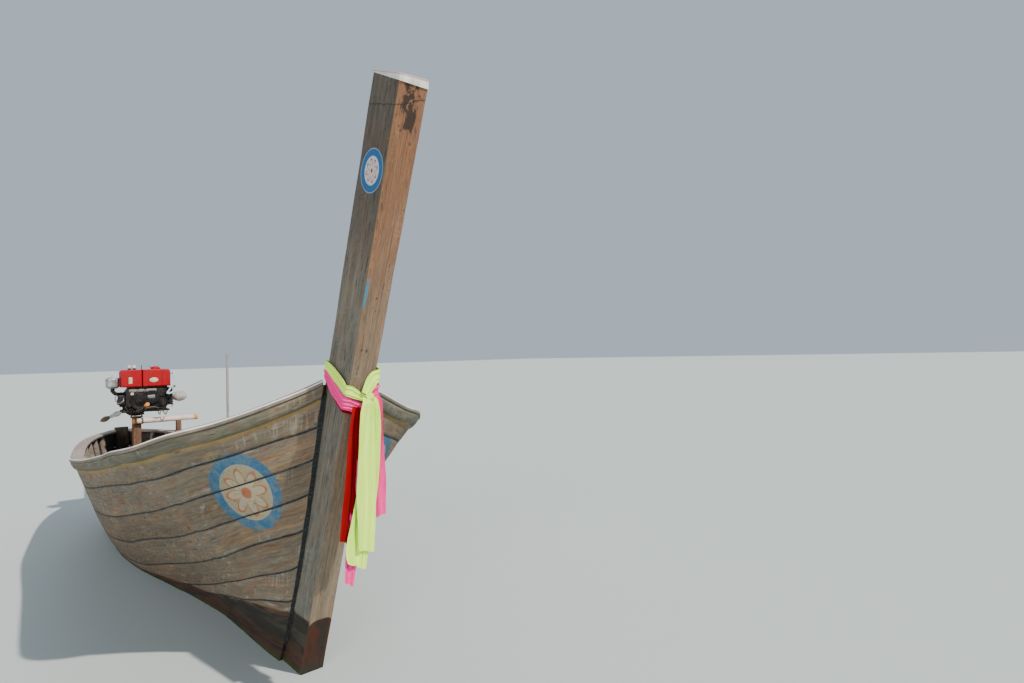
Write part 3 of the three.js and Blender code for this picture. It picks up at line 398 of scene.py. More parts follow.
# Colour of each paint or metal, the colour under it, chips, dust, roughness and metal
PAINTS = {
    "white paint": ((0.62, 0.6, 0.57), (0.3, 0.2, 0.16), 0.35, 0.35, 0.6),
    "pink rim": ((0.52, 0.34, 0.31), (0.3, 0.24, 0.2), 0.4, 0.3, 0.65),
    "red paint": ((0.33, 0.0, 0.006), (0.09, 0.03, 0.02), 0.1, 0.02, 0.4),
    "black iron": ((0.014, 0.013, 0.014), (0.04, 0.028, 0.024), 0.5, 0.12, 0.42, 0.5),
    "oily steel": ((0.3, 0.29, 0.28), (0.1, 0.07, 0.05), 0.5, 0.35, 0.35, 0.75),
    "silver": ((0.42, 0.4, 0.42), (0.2, 0.18, 0.17), 0.3, 0.25, 0.3, 0.65),
    "rust": ((0.11, 0.06, 0.04), (0.05, 0.03, 0.025), 1.0, 0.35, 0.7, 0.3),
    "pole pink": ((0.66, 0.49, 0.44), (0.34, 0.24, 0.18), 0.4, 0.1, 0.6),
    "pole grey": ((0.27, 0.26, 0.25), (0.14, 0.1, 0.08), 0.5, 0.3, 0.6),
    "orange": ((0.62, 0.24, 0.04), (0.3, 0.14, 0.06), 0.2, 0.3, 0.5),
    "yellow": ((0.6, 0.42, 0.08), (0.3, 0.2, 0.1), 0.4, 0.3, 0.5),
    "pale blue": ((0.44, 0.58, 0.64), (0.25, 0.27, 0.28), 0.2, 0.25, 0.4),
    "muffler": ((0.42, 0.39, 0.36), (0.2, 0.11, 0.07), 0.55, 0.4, 0.55),
    "bronze": ((0.075, 0.055, 0.032), (0.03, 0.035, 0.026), 0.5, 0.15, 0.45, 0.6),
    "cream plate": ((0.55, 0.5, 0.36), (0.3, 0.24, 0.18), 0.3, 0.25, 0.45),
    "brown rubber": ((0.13, 0.1, 0.085), (0.08, 0.06, 0.05), 0.2, 0.4, 0.7),
    "nail": ((0.09, 0.045, 0.03), (0.03, 0.02, 0.018), 1.0, 0.3, 0.7),
}
FINISHES = {
    "planking": plank_finish(),
    "stem": stem_finish(),
    "rail cap": rail_finish(),
    "caulk": caulk_finish("caulk", (0.016, 0.018, 0.018), (0.05, 0.052, 0.052)),
    "stem caulk": caulk_finish("stem caulk", (0.02, 0.024, 0.026), (0.052, 0.056, 0.055)),
    "lime cloth": cloth_finish("lime cloth", (0.7, 1.0, 0.13), (0.4, 0.74, 0.06), (0.34, 0.44, 0.18)),
    "pink cloth": cloth_finish("pink cloth", (0.92, 0.05, 0.28), (0.5, 0.02, 0.2)),
    "red cloth": cloth_finish("red cloth", (0.27, 0.0, 0.002), (0.05, 0.0, 0.0)),
    **{name: plain_wood(name, *row) for name, row in WOODS.items()},
    **{name: painted_finish(name, *row) for name, row in PAINTS.items()},
}


def linked(name, data):
    """A new object in the scene."""
    made = bpy.data.objects.new(name, data)
    bpy.context.scene.collection.objects.link(made)
    return made


def store_fields(mesh, **fields):
    """Three numbers at each point of a mesh, for its finish to read."""
    for key, values in fields.items():
        field = mesh.attributes.new(key, "FLOAT_VECTOR", "POINT")
        field.data.foreach_set("vector", np.asarray(values, np.float32).ravel())


def add_mesh(name, body, slot, finish, points, faces, stands_for=(), smooth=35, **fields):
    """One piece of the boat from its points and faces, riding on a body."""
    mesh = bpy.data.meshes.new(name)
    mesh.from_pydata([tuple(p) for p in points], [], [tuple(f) for f in faces])
    made = linked(name, mesh)
    store_fields(mesh, **fields)
    shell = bmesh.new()
    shell.from_mesh(mesh)
    bmesh.ops.recalc_face_normals(shell, faces=shell.faces)
    shell.to_mesh(mesh)
    shell.free()
    return finished(made, body, finish, stands_for, smooth)


def finished(made, body, finish, stands_for, smooth):
    """Give an object its finish and body, and hide the CAD nodes that it stands for."""
    made.data.materials.clear()
    made.data.materials.append(FINISHES[finish])
    made.data.shade_smooth()
    made.data.set_sharp_from_angle(angle=math.radians(smooth))
    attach(made, body)
    if stands_for:
        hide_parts(*stands_for)
    return made


def skin(loops, caps=True):
    """Points and faces through an array of loops, rows by points by three."""
    rows, count = loops.shape[:2]
    faces = []
    for row in range(rows - 1):
        for k in range(count):
            a, b = row * count + k, row * count + (k + 1) % count
            faces.append((a, b, b + count, a + count))
    if caps:
        faces.append(tuple(range(count)))
        faces.append(tuple(range((rows - 1) * count, rows * count)))
    return loops.reshape(-1, 3), faces


class Heap:
    """Many loose solids gathered into one piece."""

    def __init__(self, solids=()):
        self.points = []
        self.faces = []
        for points, faces in solids:
            self.add(points, faces)

    def add(self, points, faces):
        start = len(self.points)
        self.points.extend(tuple(p) for p in points)
        self.faces.extend(tuple(start + k for k in face) for face in faces)

    def make(self, name, body, slot, finish, stands_for=(), smooth=35):
        return add_mesh(name, body, slot, finish, self.points, self.faces, stands_for, smooth)


AHEAD, TO_PORT, UP = np.eye(3)


def run_along(points):
    """Distance along a line at each of its points."""
    return np.concatenate([[0], np.cumsum(np.linalg.norm(np.diff(points, axis=0), axis=1))])


# Hull lines, the same as in the part's source, in metres: rail x y z, keel x z and
# control point x y z of each section's curve, from the bow to the stern
STATIONS = np.array([
    (2.8, .096, 1.64, 1.95, -.27, 2.3, .088, .05), (2.752, .187, 1.594, 1.9, -.27, 2.27, .08, .07),
    (2.695, .293, 1.548, 1.85, -.27, 2.24, .072, .1), (2.543, .528, 1.454, 1.7, -.27, 2.13, .052, .18),
    (2.41, .711, 1.4, 1.57, -.27, 1.99, .038, .24), (2.24, .812, 1.34, 1.45, -.27, 1.8, .032, .28),
    (2.02, .827, 1.304, 1.28, -.27, 1.62, .04, .285), (1.76, .822, 1.268, 1.08, -.27, 1.42, .056, .27),
    (1.43, .815, 1.212, .84, -.27, 1.14, .105, .21), (1.1, .806, 1.163, .6, -.27, .88, .16, .145),
    (.75, .798, 1.111, .35, -.27, .58, .222, .066), (.4, .795, 1.065, .1, -.27, .28, .282, -.006),
    (.05, .79, 1.026, -.175, -.27, -.04, .336, -.082), (-.3, .776, .99, -.45, -.27, -.36, .378, -.136),
    (-.6, .746, .966, -.725, -.268, -.65, .404, -.166), (-.9, .706, .952, -1, -.266, -.95, .414, -.18),
    (-1.2, .662, .944, -1.275, -.263, -1.23, .408, -.184),
    (-1.5, .614, .94, -1.55, -.258, -1.52, .388, -.178),
    (-1.8, .556, .938, -1.8, -.25, -1.8, .346, -.158), (-2.1, .482, .938, -2.05, -.24, -2.08, .29, -.122),
    (-2.35, .4, .94, -2.25, -.228, -2.31, .228, -.08), (-2.58, .3, .942, -2.43, -.212, -2.52, .168, -.034),
    (-2.79, .18, .944, -2.57, -.192, -2.69, .114, .04), (-2.95, .092, .946, -2.68, -.17, -2.83, .092, .1),
])
LAST = len(STATIONS) - 1
KEEL_SIDE = 0.084
CAP_SEAT = 0.0244
PLANK_THICK = 0.024
SIDES = (("starboard", -1), ("port", 1))
RAIL_RUN = run_along(STATIONS[:, :3])
# Height of each seam, as a share of the section's curve, at four places from bow to stern
SEAM_AT = (0, 0.24, 0.5, 1)
SEAMS = ((0, 0, 0, 0), (.32, .25, .12, .13), (.512, .4, .24, .26), (.612, .5, .345, .39),
         (.703, .62, .47, .52), (.782, .745, .62, .65), (.86, .845, .775, .77), (.925, .922, .89, .885),
         (1, 1, 1, 1))
SHEER = len(SEAMS) - 2


def slopes():
    """Tangents of a smooth curve through the stations, for each of their numbers."""
    step = np.diff(RAIL_RUN)[:, None]
    rise = np.diff(STATIONS, axis=0) / step
    inner = (rise[1:] * step[:-1] + rise[:-1] * step[1:]) / (step[1:] + step[:-1])
    return np.vstack([rise[:1], inner, rise[-1:]])


SLOPES = slopes()


def lines_at(v):
    """The stations' numbers at places v between them."""
    v = np.clip(np.asarray(v, float), 0, LAST)
    k = np.minimum(v.astype(int), LAST - 1)
    t = (v - k)[..., None]
    reach = (RAIL_RUN[k + 1] - RAIL_RUN[k])[..., None]
    ahead, back = (2 * t ** 3 - 3 * t ** 2 + 1), (3 * t ** 2 - 2 * t ** 3)
    leave, arrive = (t ** 3 - 2 * t ** 2 + t) * reach, (t ** 3 - t ** 2) * reach
    return ahead * STATIONS[k] + leave * SLOPES[k] + back * STATIONS[k + 1] + arrive * SLOPES[k + 1]


def hull_at(v, s):
    """Outer face of the planking at station v and share s of its section, port side."""
    row = lines_at(v)
    a, b, c = (1 - s) ** 2, 2 * s * (1 - s), s ** 2
    return np.stack([
        a * row[..., 3] + b * row[..., 5] + c * row[..., 0],
        a * KEEL_SIDE + b * row[..., 6] + c * row[..., 1],
        a * row[..., 4] + b * row[..., 7] + c * (row[..., 2] - CAP_SEAT),
    ], -1)


def unit(vectors):
    return vectors / np.maximum(np.linalg.norm(vectors, axis=-1, keepdims=True), 1e-12)


def out_at(v, s, level=False):
    """Outward direction of the port side, level for the rail."""
    ahead, astern = hull_at(np.maximum(v - 0.05, 0), s), hull_at(np.minimum(v + 0.05, LAST), s)
    above, below = hull_at(v, np.minimum(s + 0.01, 1)), hull_at(v, np.maximum(s - 0.01, 0))
    out = np.cross(astern - ahead, above - below)
    if level:
        out[..., 2] = 0
    out = unit(out)
    return np.where(out[..., 1:2] < 0, -out, out)


# How far the seams run above the part's own lines towards the bow, in shares of the section,
# and the stations where they do, each with its reach to both sides. Seams 2 to 7 were fitted
# to the seams of the real boat and rounded, and seam 1 was set.
EASE_AT = ((0, 1.8), (2.5, 1.8), (5, 1.8), (7.5, 2), (10.5, 2.2))
EASE = {1: (0, .02, 0, 0, 0), 2: (.005, .0435, .005, -.001, -.001), 3: (.007, .039, 0, -.037, -.022),
        4: (.009, .039, -.006, -.029, .001), 5: (.012, .023, -.011, -.028, .009),
        6: (.006, .013, -.008, -.022, -.01), 7: (.001, .011, -.003, -.007, .011)}


def seam_share(seam, v):
    share = np.interp(np.asarray(v) / LAST, SEAM_AT, SEAMS[seam])
    for (middle, wide), lift in zip(EASE_AT, EASE.get(seam, ())):
        share = share + lift * np.exp(-((np.asarray(v) - middle) / wide) ** 2)
    return share


# Upper edge of the dark bottom: x and height
BOOT = ((-3, 0.09), (-1.6, 0.035), (-0.17, 0.03), (1.2, 0.15), (1.96, 0.31), (2.4, 0.33), (2.6, 0.36))


def boot_line(x):
    """Height of the dark bottom's upper edge."""
    places, heights = zip(*BOOT)
    return np.interp(x, places, heights)


def mirrored(points, sign):
    return points * np.array([1, sign, 1])


def ripple(points, size, amount, seed):
    """Small unevenness of hewn wood, one number for each point."""
    spots = [(x * size, y * size, z * size + seed) for x, y, z in points.reshape(-1, 3)]
    return np.array([noise.noise(Vector(p)) for p in spots]).reshape(points.shape[:-1]) * amount


# Place of the painted rosette on the bow, as station and share, and half its width and height
EMBLEM_V, EMBLEM_SHARE = 2.785, 0.842
EMBLEM_SIZE = (0.17, 0.25)


def emblem_axes():
    """Middle of the painted rosette on the port bow, with its forward and upward directions."""
    v, s = np.array(EMBLEM_V), np.array(EMBLEM_SHARE)
    middle, out = hull_at(v, s), out_at(v, s)
    forward = unit(hull_at(v - 0.1, s) - hull_at(v + 0.1, s))
    return middle, forward, unit(np.cross(out, forward))


COLUMNS = np.linspace(0, LAST, LAST * 8 + 1)
# Half the gap between two planks
SEAM_CLEAR = 0.0028
# How far a plank's middle stands proud, and how uneven its face is
CROWN, HEWN = 0.0022, 0.0024
OFF_BACKBONE = BACKBONE + 0.0004
# Distance from a plank's edge that counts as away from it
AWAY = 0.05
# Outline of a strake's section. Columns: share of its height, metres past that, depth
# under the outer face, and whether it is on the outer face.
STRAKE_ROWS = [(0, 0, 0.0045, 1), (0, 0.0016, 0.0014, 1), (0, 0.005, 0.0002, 1)]
STRAKE_ROWS += [(share, 0, 0, 1) for share in (0.1, 0.22, 0.36, 0.5, 0.64, 0.78, 0.9)]
STRAKE_ROWS += [(1, -0.005, 0.0002, 1), (1, -0.0016, 0.0014, 1), (1, 0, 0.0045, 1)]
STRAKE_ROWS += [(share, 0, PLANK_THICK, 0) for share in (1, 0.66, 0.33, 0)]


def strake(seam, name, sign):
    """One plank: rounded seam edges, a slight crown, and the fields its finish reads."""
    low, high = seam_share(seam, COLUMNS), seam_share(seam + 1, COLUMNS)
    girth = np.linalg.norm(hull_at(COLUMNS, high) - hull_at(COLUMNS, low), axis=-1)
    gap_low = SEAM_CLEAR if seam else 0.0
    gap_high = SEAM_CLEAR if seam < SHEER else 0.0
    run = run_along(hull_at(COLUMNS, (low + high) / 2))
    none = run * 0
    loops, grains, marks, rims = [], [], [], []
    for share, shift, depth, outside in STRAKE_ROWS:
        across = gap_low + share * (girth - gap_low - gap_high) + shift
        s = low + (high - low) * across / girth
        at = hull_at(COLUMNS, s)
        out = out_at(COLUMNS, s, seam == SHEER and share == 1)
        bulge = none + (CROWN * math.sin(math.pi * share) if outside else 0.0)
        if outside and 0 < share < 1:
            bulge += ripple(at, 3.1, HEWN, seam * 5 + sign)
        at = at + out * (bulge - depth)[:, None]
        if not outside:
            at[:, 1] = np.maximum(at[:, 1], OFF_BACKBONE)
            at[[0, -1], 1] = OFF_BACKBONE
        near = np.minimum(across - gap_low, girth - gap_high - across) if outside else none + AWAY
        under_rim = girth - across if seam == SHEER else none + 1.0
        loops.append(at)
        grains.append(np.stack([run, across, none + seam * 1.7 + sign * 0.6], -1))
        marks.append(np.stack([near, none + (seam == 0), at[:, 2] - boot_line(at[:, 0])], -1))
        rims.append(np.stack([under_rim, none, none], -1))
    loops = np.stack(loops, 1)
    middle, forward, up = emblem_axes()
    offset = loops - middle
    outer = np.zeros(loops.shape[:2]) + np.array([row[3] for row in STRAKE_ROWS])
    emblem = np.stack([offset @ forward / EMBLEM_SIZE[0], offset @ up / EMBLEM_SIZE[1], outer], -1)
    points, faces = skin(mirrored(loops, sign))
    add_mesh(f"strake_{seam + 1}_{name}", "hull", "wood_weathered", "planking", points, faces,
             (f"plank_{seam + 1}_{name}",), 40, grain=np.stack(grains, 1), marks=np.stack(marks, 1),
             emblem=emblem, rim=np.stack(rims, 1))


# Section of the caulk in a seam: side, and depth under the outer face
CAULK_ROWS = ((-1, 0.009), (-1, 0.0012), (-0.5, -0.0006), (0.5, -0.0006), (1, 0.0012), (1, 0.009))
# Half widths of the caulk: in the seam, smeared over it, how much more at the bow, and least
CAULK_ROOT, CAULK_SMEAR, CAULK_BOW, CAULK_LEAST = 0.0024, 0.0054, 0.003, 0.003


def caulk_seams(name, sign):
    """Caulk in the seams between the strakes, uneven, a little proud and broader at the bow."""
    heap = Heap()
    for seam in range(1, len(SEAMS) - 1):
        s = seam_share(seam, COLUMNS)
        girth = np.linalg.norm(hull_at(COLUMNS, s + 0.01) - hull_at(COLUMNS, s - 0.01), axis=-1) / 0.02
        at = hull_at(COLUMNS, s)
        smear = CAULK_SMEAR + ripple(at, 9, 0.0026, seam * 3.3 + sign) + ripple(at, 30, 0.004, seam)
        smear = np.maximum(smear + CAULK_BOW * np.clip(1 - COLUMNS / 3, 0, 1), CAULK_LEAST)
        loops = []
        for side, depth in CAULK_ROWS:
            half = smear if depth < 0.005 else CAULK_ROOT
            place = s + side * half / girth
            loops.append(hull_at(COLUMNS, place) - out_at(COLUMNS, place) * depth)
        heap.add(*skin(mirrored(np.stack(loops, 1), sign)))
    heap.make(f"seam_caulk_{name}", "hull", "wood_dark", "caulk")


RUB_HEIGHT = 0.072
# Section of each moulding. Columns: share of the way up from the rub rail's foot to the rim,
# metres above that, metres outward.
RUB_OUTLINE = [(0, 0, 0.0004), (0, 0, 0.011), (0.07, 0, 0.0165), (0.2, 0, 0.0205), (0.5, 0, 0.0235),
               (0.8, 0, 0.022), (0.94, 0, 0.019), (1, 0, 0.014), (1, 0, 0.0004)]
CAP_OUTLINE = [(1, 0.0005, 0.022), (1, 0.004, 0.0262), (1, 0.02, 0.0268), (1, 0.0238, 0.0225),
               (1, 0.0252, 0.012), (1, 0.0256, -0.02), (1, 0.0252, -0.05), (1, 0.024, -0.0725),
               (1, 0.02, -0.078), (1, 0.004, -0.078), (1, 0.0005, -0.074)]


def moulding(name, sign, finish, outline, node, rough):
    """A long wooden piece along the top strake's rim."""
    rim, out = hull_at(COLUMNS, 1.0), out_at(COLUMNS, 1.0, True)
    under = hull_at(COLUMNS, seam_share(SHEER, COLUMNS))
    foot = rim + (under - rim) * (RUB_HEIGHT / np.linalg.norm(under - rim, axis=1)[:, None])
    run = run_along(rim)
    loops, grains = [], []
    across = 0.0
    for order, (share, lift, away) in enumerate(outline):
        if order:
            before = outline[order - 1]
            across += math.hypot((share - before[0]) * RUB_HEIGHT + lift - before[1], away - before[2])
        at = foot + (rim - foot) * share + out * away
        at[:, 2] += lift
        if away < 0:
            at[:, 1] = np.maximum(at[:, 1], BACKBONE + 0.0034)
        if away > 0.002:
            at = at + out * ripple(at, 6, rough, order * 2.1)[:, None]
        loops.append(at)
        grains.append(np.stack([run, run * 0 + across, run * 0 + sign * 2.3 + len(outline)], -1))
    loops = np.stack(loops, 1)
    marks = np.zeros_like(loops) + (AWAY, 0, 0)
    marks[..., 2] = [away for _, _, away in outline]
    points, faces = skin(mirrored(loops, sign))
    add_mesh(name, "hull", "wood_pale", finish, points, faces, (node,), 50,
             grain=np.stack(grains, 1), marks=marks)


def rails():
    for side, sign in SIDES:
        moulding(f"rub_moulding_{side}", sign, "rub wood", RUB_OUTLINE, f"rub_rail_{side}", 0.002)
        moulding(f"rail_capping_{side}", sign, "rail cap", CAP_OUTLINE, f"rail_cap_{side}", 0.001)


# Section of the caulk where the planks meet the post, first on the planks and then on the
# post: metres from the joint, and metres off the face
JOINT_ON_PLANKS = ((0.003, -0.003), (0.002, 0.0012), (0.0005, 0.002))
JOINT_ON_POST = ((-0.0015, 0.002), (-0.0035, 0.001))


def stem_joint_caulk(side, sign):
    """Broad caulk smeared over the joint between the plank ends and the stem's side."""
    shares = np.linspace(0.36, 0.985, 60)
    v = np.zeros_like(shares)
    at = hull_at(v, shares)
    aft = unit(hull_at(v + 0.6, shares) - at)
    wave = ripple(at, 14, 0.003, sign)
    loops = []
    for reach, away in JOINT_ON_PLANKS:
        spot = at + aft * (reach + wave)[:, None] + out_at(v + reach * 9, shares) * away
        spot[:, 1] = np.maximum(spot[:, 1], BACKBONE + 0.003)
        loops.append(spot)
    for reach, away in JOINT_ON_POST:
        spot = at - AHEAD * (reach - wave)[:, None]
        spot[:, 1] = BACKBONE + 0.0025 + away
        loops.append(spot)
    inner = at.copy()
    inner[:, 1] = BACKBONE + 0.001
    loops.append(inner)
    points, faces = skin(mirrored(np.stack(loops, 1), sign))
    add_mesh(f"stem_caulk_{side}", "hull", "wood_dark", "stem caulk", points, faces)


STEM_RAKE = 0.3876
STEM_DEPTH = 0.265
STEM_FOOT_X = 2.4


def stem_front_x(z):
    return STEM_FOOT_X + STEM_RAKE * z


# Columns: front edge x and z, rear edge x and z, half width, steps up to the next
STEM_LEVELS = [
    (2.09, -0.33, 2.03, -0.33, BACKBONE, 3), (2.29, -0.19, 2.03, -0.236, BACKBONE, 4),
    (STEM_FOOT_X, 0, 2.075, -0.04, BACKBONE, 46),
    (stem_front_x(1.66), 1.66, stem_front_x(1.66) - STEM_DEPTH, 1.66, BACKBONE, 36),
    (stem_front_x(2.925), 2.925, stem_front_x(3.04) - STEM_DEPTH, 3.04, 0.073, 0),
]
# Middle of the badge on the post's starboard side: x and height
BADGE_AT = (3.281, 2.5965)
# Puts the badge's field out of reach on the other faces
ELSEWHERE = 5.0


def stem_levels():
    rows = []
    for here, there in zip(STEM_LEVELS, STEM_LEVELS[1:]):
        for k in range(here[5]):
            rows.append([a + (b - a) * k / here[5] for a, b in zip(here[:5], there[:5])])
    return np.array(rows + [list(STEM_LEVELS[-1][:5])])


def stem_outline(reach, half):
    """Half of the post's section at one level, from the middle of its front face round the
    starboard side: metres back from the front edge, metres to starboard, on the front."""
    r = 0.008
    bend = r * 0.3
    front = [(0, 0, 1), (0, half * 0.5, 1), (0, half - r, 1), (bend, half - bend, 1)]
    side = [(r + (reach - 2 * r) * share, half, 0) for share in (0, 0.12, 0.3, 0.5, 0.7, 0.88)]
    rear = [(reach - r, half, 0), (reach - bend, half - bend, 0), (reach, half - r, 0), (reach, 0, 0)]
    return front + side + rear


def stem_timber():
    loops, grains, posts, emblems = [], [], [], []
    for front_x, front_z, rear_x, rear_z, half in stem_levels():
        reach = math.hypot(rear_x - front_x, rear_z - front_z)
        rows = stem_outline(reach, half)
        ring = [(back, -y, front) for back, y, front in rows] + rows[-2:0:-1]
        back, y, on_front = np.array(ring, float).T
        share = back / reach
        loop = np.stack([front_x + (rear_x - front_x) * share, y, front_z + (rear_z - front_z) * share], -1)
        across = np.where(on_front > 0, y, half + back)
        arris = np.maximum(back, half - abs(y))
        elsewhere = np.where(y < -half * 0.9, 0.0, ELSEWHERE)
        loops.append(loop)
        grains.append(np.stack([loop[:, 2] * 1.07, across, on_front * 2 + np.sign(y)], -1))
        posts.append(np.stack([on_front, loop[:, 2], arris], -1))
        badge_u, badge_v = loop[:, 0] - BADGE_AT[0] + elsewhere, loop[:, 2] - BADGE_AT[1]
        emblems.append(np.stack([badge_u, badge_v, elsewhere], -1))
    loops = np.stack(loops)
    out = unit((loops - loops.mean(axis=1, keepdims=True)) * np.array([1, 1, 0]))
    broad, fine = ripple(loops, 4.5, 0.0022, 3.0), ripple(loops, 17, 0.0011, 8.0)
    loops = loops + out * broad[..., None] + out * fine[..., None]
    points, faces = skin(loops)
    add_mesh("stem_timber", "hull", "wood_weathered", "stem", points, faces, ("stem_post",), 40,
             grain=np.stack(grains), post=np.stack(posts), emblem=np.stack(emblems),
             marks=np.zeros_like(loops) + (AWAY, 0, 0))
    stem_head(loops[-1])


# Rings of the wedge on the post's head and of its rim: growth from the middle, share of the
# wedge's thickness, metres above that
HEAD_PLATE = ((1.0, 0, -0.004), (1.03, 0, -0.003), (1.035, 0.3, 0), (1.035, 0.8, 0), (1.02, 1, 0),
              (0.3, 1, 0))
HEAD_RIM = ((1.03, 1, -0.0035), (1.043, 1, -0.0025), (1.045, 1, 0.0015), (1.03, 1, 0.0035),
            (0.95, 1, 0.0035), (0.92, 1, 0.001), (0.3, 1, 0.0008))


def stem_head(top):
    """White wedge with a pink rim on the post's head, thickest at its port front corner."""
    centre = top.mean(axis=0)
    ahead, over = ((top[:, k:k + 1] - top[:, k].min()) / np.ptp(top[:, k]) for k in (0, 1))
    thick = (0.003 + ahead * (0.025 + 0.008 * over)) * UP
    for name, finish, rings in (("plate", "white paint", HEAD_PLATE), ("rim", "pink rim", HEAD_RIM)):
        loops = [centre + (top - centre) * grow + thick * share + (0, 0, lift) for grow, share, lift in rings]
        points, faces = skin(np.stack(loops))
        add_mesh(f"stem_head_{name}", "hull", "wood_pale", finish, points, faces, (), 45)


def plain_fields(made, seed):
    """Grain along each loose part's longest direction, for a piece taken from its CAD mesh."""
    shell = bmesh.new()
    shell.from_mesh(made.data)
    shell.verts.ensure_lookup_table()
    seen, grain = set(), np.zeros((len(shell.verts), 3))
    draw = random.Random(seed)
    for first in shell.verts:
        if first.index in seen:
            continue
        group, queue = [], [first]
        seen.add(first.index)
        while queue:
            vertex = queue.pop()
            group.append(vertex.index)
            for edge in vertex.link_edges:
                other = edge.other_vert(vertex)
                if other.index not in seen:
                    seen.add(other.index)
                    queue.append(other)
        places = np.array([shell.verts[k].co for k in group])
        centred = places - places.mean(axis=0)
        axes = np.linalg.svd(centred, full_matrices=False)[2] if len(group) > 3 else np.eye(3)
        grain[group, 0] = centred @ axes[0]
        grain[group, 1] = centred @ (axes[1] + axes[2] * 0.7)
        grain[group, 2] = draw.uniform(0, 30)
    shell.free()
    store_fields(made.data, grain=grain, marks=np.zeros((len(grain), 3)) + (AWAY, 0, 0))


# For wear: points this near are one, faces this flat are one, and edges this sharp are rounded
WELD, FLAT, SHARP = 2e-5, math.radians(1.2), math.radians(30)


def worn(node, body, slot, finish, bevel, smooth=38):
    """A piece with its CAD node's own shape, its sharp edges rounded by wear."""
    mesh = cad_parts[node].data.copy()
    mesh.name = f"{node}_worn"
    shell = bmesh.new()
    shell.from_mesh(mesh)
    bmesh.ops.remove_doubles(shell, verts=shell.verts, dist=WELD)
    bmesh.ops.dissolve_limit(shell, angle_limit=FLAT, verts=shell.verts, edges=shell.edges)
    sharp = [e for e in shell.edges if len(e.link_faces) == 2 and e.calc_face_angle(0) > SHARP]
    bmesh.ops.bevel(shell, geom=sharp, offset=bevel, segments=2, profile=0.6, affect="EDGES",
                    clamp_overlap=True)
    bmesh.ops.recalc_face_normals(shell, faces=shell.faces)
    shell.to_mesh(mesh)
    shell.free()
    made = linked(mesh.name, mesh)
    plain_fields(made, sum(map(ord, node)))
    return finished(made, body, finish, (node,), smooth)


RIB_STATIONS = range(6, 22)
# Rings of a nail's head: radius, and metres off the plank
NAIL_RINGS = ((0.0052, -0.003), (0.0052, 0.0009), (0.0035, 0.0019))


def fastenings(side, sign):
    """Nail heads through the planks into each rib."""
    heap = Heap()
    draw = random.Random(5 + sign)
    turns = [math.tau * k / 9 for k in range(9)]
    for station in RIB_STATIONS:
        for seam in range(len(SEAMS) - 1):
            low, high = seam_share(seam, station), seam_share(seam + 1, station)
            for share in (0.2, 0.78) if seam < SHEER else (0.12,):
                v = np.array(station + draw.uniform(-0.03, 0.03))
                s = np.array(low + (high - low) * (share + draw.uniform(-0.05, 0.05)))
                at, out = hull_at(v, s), out_at(v, s)
                bulge = CROWN * math.sin(math.pi * share)
                across = unit(np.cross(out, UP))
                up = np.cross(across, out)
                rings = [[at + out * (bulge + lift) + (across * math.cos(t) + up * math.sin(t)) * radius
                          for t in turns] for radius, lift in NAIL_RINGS]
                heap.add(*skin(mirrored(np.array(rings), sign)))
    heap.make(f"plank_nails_{side}", "hull", "rust", "nail")


def curve_through(rows, steps):
    """Smooth rows of numbers through the given ones, evenly spaced between each two."""
    rows = np.array(rows, float)
    ends = np.vstack([2 * rows[0] - rows[1], rows, 2 * rows[-1] - rows[-2]])
    t = np.linspace(0, 1, steps, endpoint=False)[:, None]
    out = []
    for a, b, c, d in zip(ends, ends[1:], ends[2:], ends[3:]):
        bend, twist = 2 * a - 5 * b + 4 * c - d, 3 * b - a - 3 * c + d
        out.append(0.5 * (2 * b + (c - a) * t + bend * t ** 2 + twist * t ** 3))
    return np.vstack(out + [rows[-1:]])


CLOTH_THICK = 0.0013
# Length of a hanging end over which its last edge drops to one corner
HEM_REACH = 0.22


def cloth_strip(path, across, half, fold, pleats, seed, hem=0.0):
    """Thin closed strip of pleated cloth along a path. fold is the pleats' depth, and hem is how
    much lower one corner of its last edge hangs."""
    t = np.linspace(0, 1, 45)
    ahead = unit(np.gradient(path, axis=0))
    out = unit(np.cross(across, ahead))
    across = unit(np.cross(ahead, out))
    run = run_along(path)
    drift = np.array([noise.noise(Vector((r * 3.2, seed, 0.5))) for r in run])[:, None]
    phase = math.tau * (pleats * t + 0.3 * np.sin(t * 5 + seed) + 0.45 * drift) + seed
    wave = np.sin(phase) + 0.4 * np.sin(phase * 1.9 + 1.3)
    crumple = np.array([[noise.noise(Vector((s * 3.4, r * 9, seed))) for s in t] for r in run])
    half, fold = half[:, None], fold[:, None]
    depth = fold * (0.65 * wave + 0.7 * crumple - 0.5 * (2 * t - 1) ** 6)
    side = half * (2 * t - 1) + fold * 0.5 * np.cos(phase)
    sheet = path[:, None] + across[:, None] * side[..., None] + out[:, None] * depth[..., None]
    if hem:
        tip = np.clip((run - run[-1] + HEM_REACH) / HEM_REACH, 0, 1)[:, None] ** 2
        slack = np.array([noise.noise(Vector((s * 3, seed, 7.0))) for s in t])
        sheet[..., 2] += tip * (hem * (2 * t - 1) + 0.012 * slack)
    normal = unit(np.cross(np.gradient(sheet, axis=0), np.gradient(sheet, axis=1)))
    back = sheet - normal * CLOTH_THICK
    points, faces = skin(np.concatenate([sheet, back[:, ::-1]], axis=1), caps=False)
    count = len(t)
    for start in (0, (len(path) - 1) * 2 * count):
        end = start + 2 * count - 1
        faces += [(start + k, start + k + 1, end - 1 - k, end - k) for k in range(count - 1)]
    # How high each point stands on its pleats; the finish paints shade where it is low.
    ridge = np.clip(0.5 + 0.36 * wave, 0, 1)
    weave = np.stack([ridge * 0 + t * 0.4, ridge * 0 + run[:, None], ridge], -1)
    weave = np.concatenate([weave, weave[:, ::-1]], axis=1).reshape(-1, 3)
    return points, faces, weave


